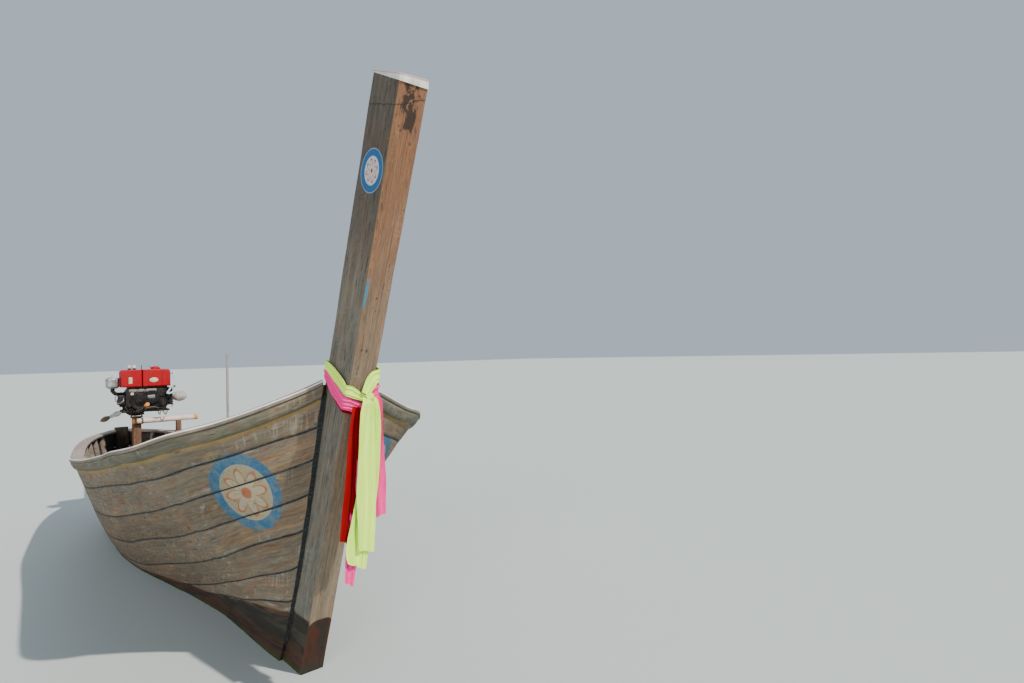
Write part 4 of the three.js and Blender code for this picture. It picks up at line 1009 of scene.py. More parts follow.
def post_outline(place):
    """Points and outward directions round the post's section, metres from the middle of its
    front face to starboard and on round, seen from the section's middle."""
    r, x, y = 0.012, STEM_DEPTH / 2, BACKBONE + 0.002
    spots, outs = [(x, 0.0)], [(1.0, 0.0)]
    for quarter, (ahead, over) in enumerate(((1, -1), (-1, -1), (-1, 1), (1, 1))):
        for turn in np.linspace(0, math.pi / 2, 7):
            angle = -turn - quarter * math.pi / 2
            outs.append((math.cos(angle), math.sin(angle)))
            spots.append(((x - r) * ahead + r * outs[-1][0], (y - r) * over + r * outs[-1][1]))
    spots, outs = np.array(spots + spots[:1]), np.array(outs + outs[:1])
    run = run_along(spots)
    place = np.mod(place, run[-1])
    at, out = (np.stack([np.interp(place, run, row) for row in line.T], -1) for line in (spots, outs))
    return at, unit(out)


# The way that a band's width lies: up, and a little ahead
BAND_ACROSS = (0.12, 0.0, 1.0)


def band(rows, pleats, seed):
    """Cloth round the post. Columns: metres round it from the middle of its front face to
    starboard, height, half width, distance off the wood, pleat depth."""
    place, height, half, gap, fold = curve_through(rows, 14).T
    at, out = post_outline(place)
    x = at[:, 0] + out[:, 0] * gap + STEM_FOOT_X + STEM_RAKE * height - STEM_DEPTH / 2
    path = np.stack([x, at[:, 1] + out[:, 1] * gap, height], -1)
    return cloth_strip(path, np.tile(BAND_ACROSS, (len(path), 1)), half, fold, pleats, seed)


def tail(rows, pleats, seed, hem):
    """Hanging end of cloth. Columns: x, y, z, half width, pleat depth."""
    x, y, z, half, fold = curve_through(rows, 16).T
    path = np.stack([x, y, z], -1)
    return cloth_strip(path, np.tile(TO_PORT, (len(path), 1)), half, fold, pleats, seed, hem)


def knot(middle, radius, half, tilt, seed):
    """Cloth drawn round the place where the ends cross."""
    turn = np.linspace(-0.4, math.tau - 0.3, 40)
    down = np.array([0.0, math.sin(tilt), -math.cos(tilt)])
    ahead = np.array([0.9, 0.0, 0.0])
    path = np.array(middle) + radius * (np.cos(turn)[:, None] * ahead + np.sin(turn)[:, None] * down)
    path += np.linspace(-1, 1, 40)[:, None] * TO_PORT * 0.006
    across = np.tile(np.cross(ahead, down), (40, 1))
    return cloth_strip(path, across, half + turn * 0, 0.0022 + turn * 0, 3, seed)


def sash(name, finish, strips, stands_for):
    """One cloth, with its wraps, knot and hanging ends."""
    points, faces, weave = [], [], []
    for places, patches, threads in strips:
        faces += [tuple(len(points) + k for k in patch) for patch in patches]
        points += list(places)
        weave += list(threads)
    slot = finish.replace(" ", "_")
    made = add_mesh(name, "hull", slot, finish, points, faces, stands_for, 70, weave=weave)


def sashes():
    """Three votive sashes round the post: lime in front, pink under it and red lowest."""
    sash("sash_lime", "lime cloth", (
        band([(-0.022, 1.548, 0.012, 0.026, 0.003), (0.012, 1.562, 0.018, 0.016, 0.003),
              (0.045, 1.579, 0.024, 0.013, 0.0035), (0.085, 1.603, 0.028, 0.013, 0.0035),
              (0.13, 1.63, 0.033, 0.013, 0.004), (0.19, 1.655, 0.036, 0.013, 0.004),
              (0.25, 1.684, 0.032, 0.013, 0.0035), (0.31, 1.709, 0.027, 0.013, 0.003),
              (0.395, 1.722, 0.026, 0.012, 0.003), (0.48, 1.719, 0.026, 0.013, 0.003),
              (0.6, 1.698, 0.026, 0.016, 0.003), (0.69, 1.676, 0.027, 0.02, 0.003),
              (0.735, 1.652, 0.028, 0.021, 0.003), (0.757, 1.61, 0.026, 0.026, 0.003),
              (0.775, 1.572, 0.02, 0.034, 0.003)], 3, 1.0),
        knot((3.062, 0.018, 1.553), 0.021, 0.017, 0.5, 4.0),
        tail([(3.045, 0.036, 1.562, 0.012, 0.004), (3.068, 0.042, 1.53, 0.02, 0.006),
              (3.062, 0.044, 1.45, 0.031, 0.008), (3.056, 0.034, 1.345, 0.042, 0.009),
              (3.053, 0.014, 1.158, 0.052, 0.009), (3.051, -0.016, 1.006, 0.058, 0.009),
              (3.048, -0.052, 0.83, 0.054, 0.008), (3.047, -0.056, 0.752, 0.042, 0.007)], 2.7, 2.0, -0.022),
        tail([(3.058, 0.0, 1.556, 0.012, 0.003), (3.086, -0.004, 1.535, 0.022, 0.004),
              (3.084, -0.004, 1.48, 0.035, 0.006), (3.078, -0.008, 1.36, 0.043, 0.007),
              (3.073, -0.011, 1.18, 0.05, 0.007), (3.07, -0.013, 1.0, 0.05, 0.007),
              (3.067, -0.017, 0.822, 0.041, 0.006)], 1.7, 3.0, -0.012),
    ), ("sash_wrap_lime", "sash_tail_lime"))
    sash("sash_pink", "pink cloth", (
        band([(-0.03, 1.492, 0.018, 0.024, 0.003), (0.005, 1.503, 0.026, 0.019, 0.003),
              (0.045, 1.52, 0.03, 0.017, 0.0035), (0.085, 1.541, 0.034, 0.017, 0.004),
              (0.14, 1.572, 0.034, 0.016, 0.004), (0.2, 1.603, 0.033, 0.015, 0.004),
              (0.26, 1.64, 0.028, 0.013, 0.0035), (0.32, 1.675, 0.022, 0.013, 0.003),
              (0.395, 1.692, 0.02, 0.013, 0.003), (0.47, 1.688, 0.022, 0.014, 0.003),
              (0.58, 1.655, 0.028, 0.018, 0.003), (0.67, 1.61, 0.034, 0.026, 0.004),
              (0.73, 1.565, 0.042, 0.03, 0.004), (0.762, 1.535, 0.036, 0.024, 0.004)], 3, 5.0),
        tail([(3.034, 0.06, 1.575, 0.02, 0.003), (3.042, 0.076, 1.52, 0.026, 0.005),
              (3.036, 0.08, 1.4, 0.026, 0.006), (3.03, 0.084, 1.227, 0.031, 0.007),
              (3.027, 0.087, 1.1, 0.035, 0.007), (3.025, 0.087, 0.962, 0.036, 0.007)], 2, 6.0, 0.004),
        tail([(3.038, 0.01, 1.52, 0.016, 0.003), (3.036, 0.004, 1.4, 0.026, 0.005),
              (3.028, -0.03, 1.1, 0.032, 0.006), (3.024, -0.066, 0.85, 0.03, 0.006),
              (3.022, -0.086, 0.668, 0.02, 0.005)], 3, 7.0, -0.01),
    ), ("sash_wrap_pink", "sash_tail_pink"))
    sash("sash_red", "red cloth", (
        band([(-0.02, 1.482, 0.02, 0.009, 0.002), (0.03, 1.497, 0.024, 0.008, 0.002),
              (0.085, 1.517, 0.028, 0.008, 0.002), (0.14, 1.549, 0.03, 0.008, 0.002),
              (0.2, 1.585, 0.028, 0.007, 0.002), (0.26, 1.627, 0.022, 0.007, 0.002),
              (0.32, 1.66, 0.018, 0.007, 0.002), (0.395, 1.676, 0.016, 0.007, 0.002),
              (0.47, 1.672, 0.018, 0.007, 0.002), (0.58, 1.64, 0.022, 0.009, 0.002),
              (0.67, 1.6, 0.024, 0.012, 0.002), (0.735, 1.578, 0.024, 0.015, 0.002),
              (0.77, 1.53, 0.022, 0.012, 0.002)], 2, 8.0),
        tail([(3.026, -0.03, 1.51, 0.02, 0.003), (3.036, -0.042, 1.46, 0.022, 0.005),
              (3.034, -0.056, 1.32, 0.028, 0.007), (3.031, -0.062, 1.18, 0.032, 0.008),
              (3.029, -0.075, 1.03, 0.037, 0.008), (3.027, -0.09, 0.862, 0.04, 0.008)], 2.2, 9.0, -0.02),
    ), ("sash_tail_red",))


# Wood that keeps its CAD node's shape: slot, finish and how far its edges are worn
WORN_WOOD = {
    "keel": ("wood_dark", "keel wood", 0.005),
    "sternpost": ("wood_weathered", "keel wood", 0.005),
    "ribs_starboard": ("wood_weathered", "rib wood", 0.003),
    "ribs_port": ("wood_weathered", "rib wood", 0.003),
    "floor_timbers": ("wood_weathered", "inner wood", 0.003),
    "thwart_forward": ("wood_pale", "pale wood", 0.004),
    "thwart_middle": ("wood_pale", "pale wood", 0.004),
    "thwart_after": ("wood_pale", "pale wood", 0.004),
    "stern_deck": ("wood_pale", "pale wood", 0.003),
    "foredeck": ("wood_pale", "pale wood", 0.003),
    "floorboards": ("wood_pale", "inner wood", 0.002),
    "engine_post": ("wood_dark", "post wood", 0.005),
}


def hull_pieces():
    for side, sign in SIDES:
        for seam in range(len(SEAMS) - 1):
            strake(seam, side, sign)
        caulk_seams(side, sign)
        stem_joint_caulk(side, sign)
        fastenings(side, sign)
    rails()
    stem_timber()
    for node, look in WORN_WOOD.items():
        worn(node, "hull", *look)


def rounded_box(low, high, radius):
    """Points and faces of a box with all its edges rounded."""
    shell = bmesh.new()
    low, high = np.array(low, float), np.array(high, float)
    bmesh.ops.create_cube(shell, size=1.0)
    for vertex in shell.verts:
        vertex.co = Vector((low + high) / 2 + np.array(vertex.co) * (high - low))
    bmesh.ops.bevel(shell, geom=shell.edges[:], offset=radius, segments=3, profile=0.5, affect="EDGES",
                    clamp_overlap=True)
    points = [tuple(vertex.co) for vertex in shell.verts]
    faces = [tuple(vertex.index for vertex in face.verts) for face in shell.faces]
    shell.free()
    return points, faces


def across_axis(axis):
    """Two directions square to an axis and to each other."""
    side = unit(np.cross(axis, UP if abs(axis[2]) < 0.9 else TO_PORT))
    return side, np.cross(axis, side)


def turned(at, axis, profile, sides=28):
    """A form turned on an axis. profile: metres along the axis, radius."""
    axis = unit(axis)
    side, other = across_axis(axis)
    turn = np.linspace(0, math.tau, sides, endpoint=False)
    ring = np.cos(turn)[:, None] * side + np.sin(turn)[:, None] * other
    loops = [np.array(at) + axis * along + ring * max(radius, 1e-4) for along, radius in profile]
    return skin(np.array(loops))


def pipe(points, radius, sides=14, steps=8):
    """A round pipe or rod along a smooth line."""
    path = curve_through(points, steps)
    ahead = unit(np.gradient(path, axis=0))
    side = np.cross(ahead[0], (0.1, 0.2, 1.0) if abs(ahead[0][2]) < 0.9 else AHEAD)
    turn = np.linspace(0, math.tau, sides, endpoint=False)[:, None]
    loops = []
    for at, along in zip(path, ahead):
        side = unit(side - along * (side @ along))
        loops.append(at + (np.cos(turn) * side + np.sin(turn) * np.cross(along, side)) * radius)
    return skin(np.array(loops))


def bolt(at, axis, size):
    """Six-sided head on a washer."""
    washer = [(-0.001, size * 1.25), (size * 0.2, size * 1.25)]
    head = [(size * 0.22, size), (size, size), (size * 1.15, size * 0.8)]
    return turned(at, axis, washer + head, 6)


def ring_of_bolts(at, axis, radius, count, size, start=0.0):
    side, other = across_axis(axis)
    places = [start + math.tau * k / count for k in range(count)]
    return [bolt(np.array(at) + (side * math.cos(t) + other * math.sin(t)) * radius, axis, size)
            for t in places]


ENGINE_TURN = math.radians(-5.3)
PIVOT = np.array([-2.25, 0.03, 1.168])


def engine_piece(name, body, slot, finish, solids, stands_for=(), smooth=35):
    """Solids given in the engine's own axes, set on its pivot."""
    heap = Heap()
    c, s = math.cos(ENGINE_TURN), math.sin(ENGINE_TURN)
    for points, faces in solids:
        x, y, z = np.array(points, float).T
        heap.add(PIVOT + np.stack([x * c - y * s, x * s + y * c, z], -1), faces)
    return heap.make(name, body, slot, finish, stands_for, smooth)


TANK_FOOT, TANK_TOP = 0.3104, 0.504
TANK_ROUND, TANK_CORNER = 0.034, 0.008
# Ends and seam of a tank from the rear to the front: x, and how far the sheet is drawn in
TANK_DRAW = ((-0.16, 0.02), (-0.159, 0.012), (-0.155, 0.005), (-0.148, 0.001), (-0.14, 0), (-0.005, 0),
             (-0.002, -0.003), (0.002, -0.003), (0.005, 0), (0.13, 0), (0.138, 0.001), (0.145, 0.005),
             (0.149, 0.012), (0.15, 0.02))


def pressed_tank(low_y, high_y, low_round, high_round):
    """Sheet tank between two places across the engine, with the radii of its top edges."""
    lip = TANK_FOOT + 0.004
    outline = [(low_y + 0.004, TANK_FOOT), (high_y - 0.004, TANK_FOOT), (high_y, lip)]
    for y, r, quarter in ((high_y - high_round, high_round, 0), (low_y + low_round, low_round, 1)):
        for k in range(7):
            turn = math.pi / 2 * (quarter + k / 6)
            outline.append((y + r * math.cos(turn), TANK_TOP - r + r * math.sin(turn)))
    outline = np.array(outline + [(low_y, lip)])
    middle = outline.mean(axis=0)
    reach = np.linalg.norm(outline - middle, axis=1)[:, None]
    loops = []
    for x, draw in TANK_DRAW:
        ring = middle + (outline - middle) * (1 - draw / reach)
        loops.append(np.insert(ring, 0, x, axis=1))
    return skin(np.array(loops))


def tank_foot(y):
    return rounded_box((0.146, y - 0.012, 0.311), (0.156, y + 0.012, 0.33), 0.002)


# Places across the engine: feet of the two tanks, and stacks on the fuel tank
FUEL_FEET, HOPPER_FEET = (-0.12, 0.01), (0.085, 0.29)
STACKS = (-0.066, -0.02)
FILLER = np.array((0.01, 0.19, 0.5))
FILLER_CAP = [(0, 0.05), (0.006, 0.05), (0.009, 0.047), (0.02, 0.046), (0.024, 0.043), (0.025, 0.031),
              (0.033, 0.03), (0.037, 0.026), (0.038, 0.008)]
STACK = [(0, 0.019), (0.006, 0.019), (0.008, 0.0165), (0.022, 0.0165)]
STACK_CAP = [(0, 0.0165), (0.027, 0.0165), (0.032, 0.012)]
OVAL_AT = np.array((0.149, 0.158, 0.385))


def tanks():
    """Fuel tank and radiator hopper with their caps, stacks, feet and blank plates."""
    fuel = [pressed_tank(-0.155, 0.044, TANK_ROUND, TANK_CORNER)]
    fuel += [tank_foot(y) for y in FUEL_FEET]
    hopper = [pressed_tank(0.05, 0.325, TANK_CORNER, TANK_ROUND), turned(FILLER, UP, FILLER_CAP)]
    hopper.append(rounded_box((-0.002, 0.128, 0.525), (0.022, 0.165, 0.534), 0.003))
    for k in range(12):
        t = math.tau * k / 12
        spot = FILLER + (0.0465 * math.cos(t), 0.0465 * math.sin(t), 0.008)
        hopper.append(turned(spot, UP, [(0, 0.003), (0.01, 0.003), (0.012, 0.002)], 8))
    hopper += [tank_foot(y) for y in HOPPER_FEET]
    engine_piece("fuel_tank_shell", "engine", "red_paint", "red paint", fuel, ("fuel_tank",), 30)
    engine_piece("radiator_hopper_shell", "engine", "red_paint", "red paint", hopper,
                 ("radiator_hopper",), 30)
    fittings = [turned((0.02, y, 0.5), UP, STACK, 16) for y in STACKS]
    fittings.append(pipe([(0.05, 0.047, 0.49), (0.05, 0.047, 0.53), (0.05, 0.052, 0.556)], 0.0035, 8, 4))
    fittings += [bolt((0.157, y, 0.32), AHEAD, 0.006) for y in FUEL_FEET + HOPPER_FEET]
    engine_piece("tank_fittings", "engine", "black_iron", "black iron", fittings)
    caps = [turned((0.02, y, 0.522), UP, STACK_CAP, 16) for y in STACKS]
    engine_piece("tank_pipe_caps", "engine", "steel", "white paint", caps)
    places, faces = turned(OVAL_AT, AHEAD, [(0, 1.0), (0.003, 1.0), (0.0035, 0.97)], 32)
    oval = OVAL_AT + (places - OVAL_AT) * (1, 0.042, 0.026)
    plates = [rounded_box((0.149, -0.084, 0.35), (0.1525, -0.05, 0.42), 0.0012), (oval, faces)]
    engine_piece("blank_plates", "engine", "steel", "cream plate", plates)


# Round covers on the crankcase's front: y, z, radius, x of their face, bolts
COVERS = ((0.02, 0.15, 0.095, 0.146, 8), (0.14, 0.19, 0.078, 0.14, 7))
CRANK_BOSS = [(0, 0.04), (0.006, 0.038), (0.008, 0.02), (0.02, 0.018), (0.022, 0.014)]
SIDE_BOSS = [(0, 0.03), (0.055, 0.03), (0.06, 0.02), (0.075, 0.018)]
PUMP_BOSS = [(0, 0.016), (0.006, 0.016), (0.008, 0.011), (0.016, 0.011)]
# Lines and radii of the small pipes on the pump, and of the rods and hooks
PUMP_PIPES = (
    ([(0.1, -0.13, 0.19), (0.13, -0.135, 0.165), (0.12, -0.16, 0.14), (0.07, -0.185, 0.135)], 0.006),
    ([(0.05, -0.186, 0.16), (0.05, -0.2, 0.16), (0.05, -0.205, 0.2), (0.05, -0.19, 0.225)], 0.005),
)
RODS = (
    ([(0.13, 0.07, 0.05), (0.165, 0.09, 0.075), (0.165, 0.16, 0.08), (0.14, 0.2, 0.06)], 0.005),
    ([(0.0, 0.348, 0.06), (0.02, 0.36, 0.09), (0.02, 0.362, 0.17)], 0.005),
    ([(0.12, 0.24, 0.04), (0.15, 0.25, 0.02), (0.15, 0.27, -0.012), (0.13, 0.285, 0.012),
      (0.125, 0.29, 0.03)], 0.006),
    ([(0.12, 0.2, 0.04), (0.145, 0.2, 0.01), (0.13, 0.215, -0.01), (0.12, 0.222, 0.02)], 0.005),
)


def engine_block():
    """Crankcase with its covers, ribs, bolts, pump and rods."""
    worn("crankcase", "engine", "black_iron", "black iron", 0.006, 30)
    cast = []
    for y, z, radius, x, count in COVERS:
        cover = [(0, radius - 0.006), (0.005, radius - 0.008), (0.006, radius - 0.02)]
        cast.append(turned((x - 0.003, y, z), AHEAD, cover, 36))
        cast += ring_of_bolts((x, y, z), AHEAD, radius - 0.014, count, 0.0065, 0.3)
    cast.append(turned((0.158, 0.02, 0.15), AHEAD, CRANK_BOSS))
    for low_y, high_y, z in ((-0.085, 0.28, 0.062), (-0.06, 0.285, 0.236)):
        cast.append(rounded_box((0.118, low_y, z - 0.006), (0.128, high_y, z + 0.006), 0.003))
    cast += [bolt((0.134, y, z), AHEAD, 0.006) for y in (0.198, 0.278) for z in (0.208, 0.277)]
    cast += ring_of_bolts((0.144, 0.245, 0.11), AHEAD, 0.022, 5, 0.004)
    for k in range(5):
        x = k * 0.045
        cast.append(rounded_box((-0.11 + x, 0.291, 0.1), (-0.104 + x, 0.2935, 0.28), 0.001))
    cast.append(rounded_box((-0.152, -0.02, 0.2), (-0.146, 0.2, 0.29), 0.002))
    cast.append(turned((-0.02, -0.11, 0.135), -TO_PORT, SIDE_BOSS, 20))
    engine_piece("block_castings", "engine", "black_iron", "black iron", cast)
    bright = [rounded_box((0.12, -0.08, 0.254), (0.1265, 0.188, 0.284), 0.003)]
    bright += [bolt((0.127, y, 0.27), AHEAD, 0.007) for y in (-0.066, 0.0, 0.06, 0.12, 0.172)]
    bright.append(rounded_box((0.14, 0.096, 0.178), (0.147, 0.168, 0.214), 0.003))
    bright += [bolt((0.148, y, 0.196), AHEAD, 0.005) for y in (0.106, 0.158)]
    bright += [pipe(line, radius, 10) for line, radius in PUMP_PIPES]
    bright.append(turned((0.055, -0.183, 0.165), -TO_PORT, PUMP_BOSS, 12))
    engine_piece("pump_and_bright_parts", "engine", "steel", "oily steel", bright)
    plate = [rounded_box((0.128, -0.066, 0.222), (0.1325, -0.036, 0.25), 0.0015)]
    engine_piece("blank_block_plate", "engine", "steel", "cream plate", plate)
    rods = [pipe(line, radius, 10) for line, radius in RODS]
    rods.append(turned((0.165, 0.36, 0.295), UP, [(0, 0.012), (0.018, 0.012), (0.02, 0.009)], 14))
    engine_piece("rods_and_hooks", "engine", "rust", "brown rubber", rods)


CLEANER_X, CLEANER_Y = 0.02, -0.226
CLEANER = [(0, 0.03), (0, 0.042), (0.006, 0.05), (0.018, 0.0635), (0.024, 0.066), (0.05, 0.0645),
           (0.078, 0.0645), (0.082, 0.066), (0.088, 0.066), (0.09, 0.061), (0.093, 0.061), (0.096, 0.066),
           (0.106, 0.066), (0.111, 0.063), (0.119, 0.052), (0.128, 0.033), (0.131, 0.014), (0.134, 0.009),
           (0.144, 0.008), (0.146, 0.005)]
INTAKE = [(0.02, -0.226, 0.2996), (0.02, -0.226, 0.272), (0.02, -0.194, 0.239), (0.02, -0.15, 0.2365),
          (0.02, -0.11, 0.2365)]
HOSE = [(0.096, 0.3254, 0.455), (0.096, 0.339, 0.455), (0.106, 0.353, 0.457), (0.136, 0.358, 0.46),
        (0.1604, 0.357, 0.436), (0.1604, 0.345, 0.35), (0.1604, 0.308, 0.262), (0.1604, 0.288, 0.232),
        (0.1604, 0.31, 0.224), (0.1604, 0.353, 0.25), (0.1604, 0.357, 0.3)]


def head_and_pipes():
    """Cylinder head, air cleaner, intake, muffler and cooling hose."""
    worn("cylinder_head", "engine", "black_iron", "black iron", 0.004)
    studs = [bolt((x, 0.351, z), TO_PORT, 0.0085) for x in (-0.07, 0.0, 0.07) for z in (0.104, 0.272)]
    studs += [bolt((x, 0.3545, 0.13), TO_PORT, 0.006) for x in (-0.028, 0.028)]
    studs.append(turned((0, 0.35, 0.2), TO_PORT, [(0, 0.034), (0.006, 0.034), (0.007, 0.02)], 24))
    engine_piece("head_studs", "engine", "steel", "oily steel", studs)
    cleaner = [turned((CLEANER_X, CLEANER_Y, 0.3), UP, CLEANER, 40)]
    for turn in (0.6, 2.7, 4.8):
        spot = (CLEANER_X + math.cos(turn) * 0.067, CLEANER_Y + math.sin(turn) * 0.067, 0.372)
        cleaner.append(turned(spot, UP, [(0, 0.0035), (0.03, 0.0035), (0.032, 0.0025)], 8))
    engine_piece("air_cleaner_can", "engine", "steel", "silver", cleaner, ("air_cleaner",), 40)
    intake = [pipe(INTAKE, 0.02, 20),
              turned((0.02, -0.117, 0.2365), TO_PORT, [(0, 0.029), (0.006, 0.029), (0.007, 0.02)], 24),
              turned((CLEANER_X, CLEANER_Y, 0.286), UP, [(0, 0.0225), (0.008, 0.0225)], 24)]
    engine_piece("intake_pipe", "engine", "black_iron", "black iron", intake, ("intake_elbow",), 40)
    arc = [(0.078 * math.sin(t), 0.06 * math.cos(t)) for t in np.linspace(-math.pi / 2, math.pi / 2, 22)]
    egg = arc[:11] + [(-0.003, 0.0615), (0.003, 0.0615)] + arc[11:]
    muffler = [turned((0, 0.434, 0.18), TO_PORT, egg, 36),
               turned((0, 0.3504, 0.2), TO_PORT, [(0, 0.017), (0.034, 0.017)], 20)]
    engine_piece("muffler_shell", "engine", "muffler_grey", "muffler", muffler, ("muffler",), 40)
    hose = [pipe(HOSE, 0.01, 16, 7)]
    engine_piece("cooling_hose", "engine", "pipe_pale_blue", "pale blue", hose, ("cooling_water_pipe",), 40)


# The tail's axis from the bell housing to the propeller, in the engine's own axes
TAIL_START = np.array([-0.1504, 0.0, 0.095])
TAIL_HUB = np.array([-3.87, 0.0, -0.292])
TAIL_AHEAD = unit(TAIL_HUB - TAIL_START)
TAIL_LENGTH = np.linalg.norm(TAIL_HUB - TAIL_START) - 0.06
TUBE_FOOT = 0.1204
BELL_RIM = [(0, 0.124), (0.002, 0.127), (0.014, 0.127), (0.0158, 0.125)]
BELL = [(0.008, 0.1), (0.01, 0.108), (0.018, 0.109), (0.05, 0.088), (0.085, 0.062), (0.1, 0.052),
        (0.108, 0.047), (0.12, 0.045)]
TUBE = [(0, 0.044), (0.002, 0.046), (0.012, 0.046), (0.014, 0.034), (0.03, 0.03), (0.034, 0.0252),
        (0.2, 0.0248), (1.2, 0.0248), (2.2, 0.0248), (TAIL_LENGTH - 0.265, 0.0248),
        (TAIL_LENGTH - 0.26, 0.0305), (TAIL_LENGTH - 0.13, 0.0305), (TAIL_LENGTH - 0.1264, 0.028)]


def on_tail(along):
    return TAIL_START + TAIL_AHEAD * along


def tail_tube():
    """Bell housing and the long tube behind it."""
    bell = [turned((-0.1664, 0, 0.095), AHEAD, BELL_RIM, 48), turned(TAIL_START, TAIL_AHEAD, BELL, 40)]
    bell += ring_of_bolts((-0.1665, 0, 0.095), -AHEAD, 0.117, 10, 0.006)
    engine_piece("bell_housing_cast", "engine", "black_iron", "black iron", bell, ("bell_housing",), 35)
    tube = [turned(on_tail(TUBE_FOOT), TAIL_AHEAD, TUBE)]
    tube += ring_of_bolts(on_tail(TUBE_FOOT), -TAIL_AHEAD, 0.039, 6, 0.004)
    tube.append(turned(on_tail(1.6), TAIL_AHEAD, [(0, 0.0265), (0.012, 0.0265)], 24))
    engine_piece("tail_tube_steel", "engine", "steel", "oily steel", tube, ("tail_tube",), 35)


SCREW_AT = TAIL_LENGTH + 0.014
SCREW_HUB = [(0, 0.026), (0.002, 0.0285), (0.05, 0.026), (0.062, 0.0225), (0.064, 0.014), (0.076, 0.013),
             (0.08, 0.009)]
BLADE_TURN = math.radians(24)
BLADE_ROOT, BLADE_SPAN, BLADE_THICK = 0.018, 0.154, 0.0042
# Section of a blade, in shares of its half chord and its thickness
BLADE_SECTION = ((-1, 0), (-0.6, 0.8), (0, 1.1), (0.6, 0.8), (1, 0), (0.6, -0.5), (0, -0.7), (-0.6, -0.5))


def blade(radial, around):
    """Twisted blade along radial. around is square to it in the plane of the propeller."""
    loops = []
    for share in np.linspace(0, 1, 17):
        middle = on_tail(SCREW_AT + 0.038) + radial * (BLADE_ROOT + BLADE_SPAN * share)
        chord = 0.004 + 0.05 * math.sin(math.pi * min(1.0, share * 0.93 + 0.12)) ** 0.7
        pitch = math.radians(50 - 27 * share)
        along = -TAIL_AHEAD * math.sin(pitch) - around * math.cos(pitch)
        thick = np.cross(along, radial)
        deep = BLADE_THICK * (1 - 0.6 * share)
        loops.append([middle + along * c * chord + thick * (h * deep + 0.004 * (1 - c * c))
                      for c, h in BLADE_SECTION])
    return skin(np.array(loops))


def propeller():
    """Hub, shaft end and two blades."""
    rise = np.cross(-TAIL_AHEAD, TO_PORT)
    screw = [turned(on_tail(TAIL_LENGTH - 0.1), TAIL_AHEAD, [(0, 0.013), (0.115, 0.013)], 20),
             turned(on_tail(SCREW_AT), TAIL_AHEAD, SCREW_HUB)]
    for turn in (BLADE_TURN, BLADE_TURN + math.pi):
        c, s = math.cos(turn), math.sin(turn)
        screw.append(blade(TO_PORT * c + rise * s, rise * c - TO_PORT * s))
    engine_piece("propeller_screw", "propeller", "bronze", "bronze", screw, ("propeller",), 40)


TILLER = [(0.151, 0, 0.038), (0.23, 0, 0.04), (0.43, 0, 0.066), (0.928, 0, 0.146)]
GRIP_AT, GRIP_AHEAD = (0.9286, 0, 0.1461), (0.1114, 0, 0.0189)
# One ridge of the grip, and metres between two of them
GRIP_RIDGE = ((0.008, 0.019), (0.011, 0.0172), (0.014, 0.0172))
GRIP_STEP = 0.011


def tiller():
    steer = [pipe(TILLER, 0.014, 18, 12),
             turned(TILLER[0], (1, 0, 0.02), [(0.0, 0.024), (0.05, 0.024), (0.053, 0.015)], 20)]
    steer += [bolt((0.17, 0, 0.061), UP, 0.006), bolt((0.19, 0, 0.0615), UP, 0.006)]
    engine_piece("tiller_bar", "engine", "black_iron", "black iron", steer, ("tiller",))
    ridges = [(along + k * GRIP_STEP, radius) for k in range(9) for along, radius in GRIP_RIDGE]
    profile = [(0, 0.0165), (0.002, 0.019)] + ridges + [(0.109, 0.0185), (0.112, 0.017), (0.113, 0.01)]
    grip = [turned(GRIP_AT, GRIP_AHEAD, profile, 24)]
    engine_piece("tiller_handle", "engine", "orange_grip", "orange", grip, ("tiller_grip",))


def mounting():
    """Swivel yoke and engine bed with their bolts and the tilt pin's nuts."""
    worn("swivel_yoke", "yoke", "rust", "rust", 0.002)
    worn("engine_bed", "engine", "black_iron", "black iron", 0.002)
    nuts = [bolt((x, y, 0.046), UP, 0.008) for x in (-0.12, 0.1) for y in (-0.125, 0.29)]
    pin_nut = [(0, 0.012), (0.008, 0.012), (0.009, 0.009)]
    nuts += [turned(TO_PORT * sign * 0.066, TO_PORT * sign, pin_nut, 6) for sign in (-1, 1)]
    engine_piece("bed_bolts", "engine", "rust", "rust", nuts)


BEAM_AT = np.array((-2.1746, -0.02, 1.092))
BEAM_BAND = [(-0.003, 0.02), (-0.002, 0.0295), (0.002, 0.0308), (0.026, 0.0308), (0.027, 0.0295)]
BEAM_RING = [(0, 0.0295), (0.001, 0.0304), (0.014, 0.0304), (0.015, 0.0295)]
CORD_STEP, CORD_TURN = 0.0065, 0.0325


def lashing_turn(y):
    """One turn of cord over the beam."""
    over = [(math.cos(t) * CORD_TURN, math.sin(t) * CORD_TURN) for t in np.linspace(-1.9, 1.9, 9)]
    return pipe([(BEAM_AT[0] + ahead, y, BEAM_AT[2] + up) for ahead, up in over], 0.0028, 8, 4)


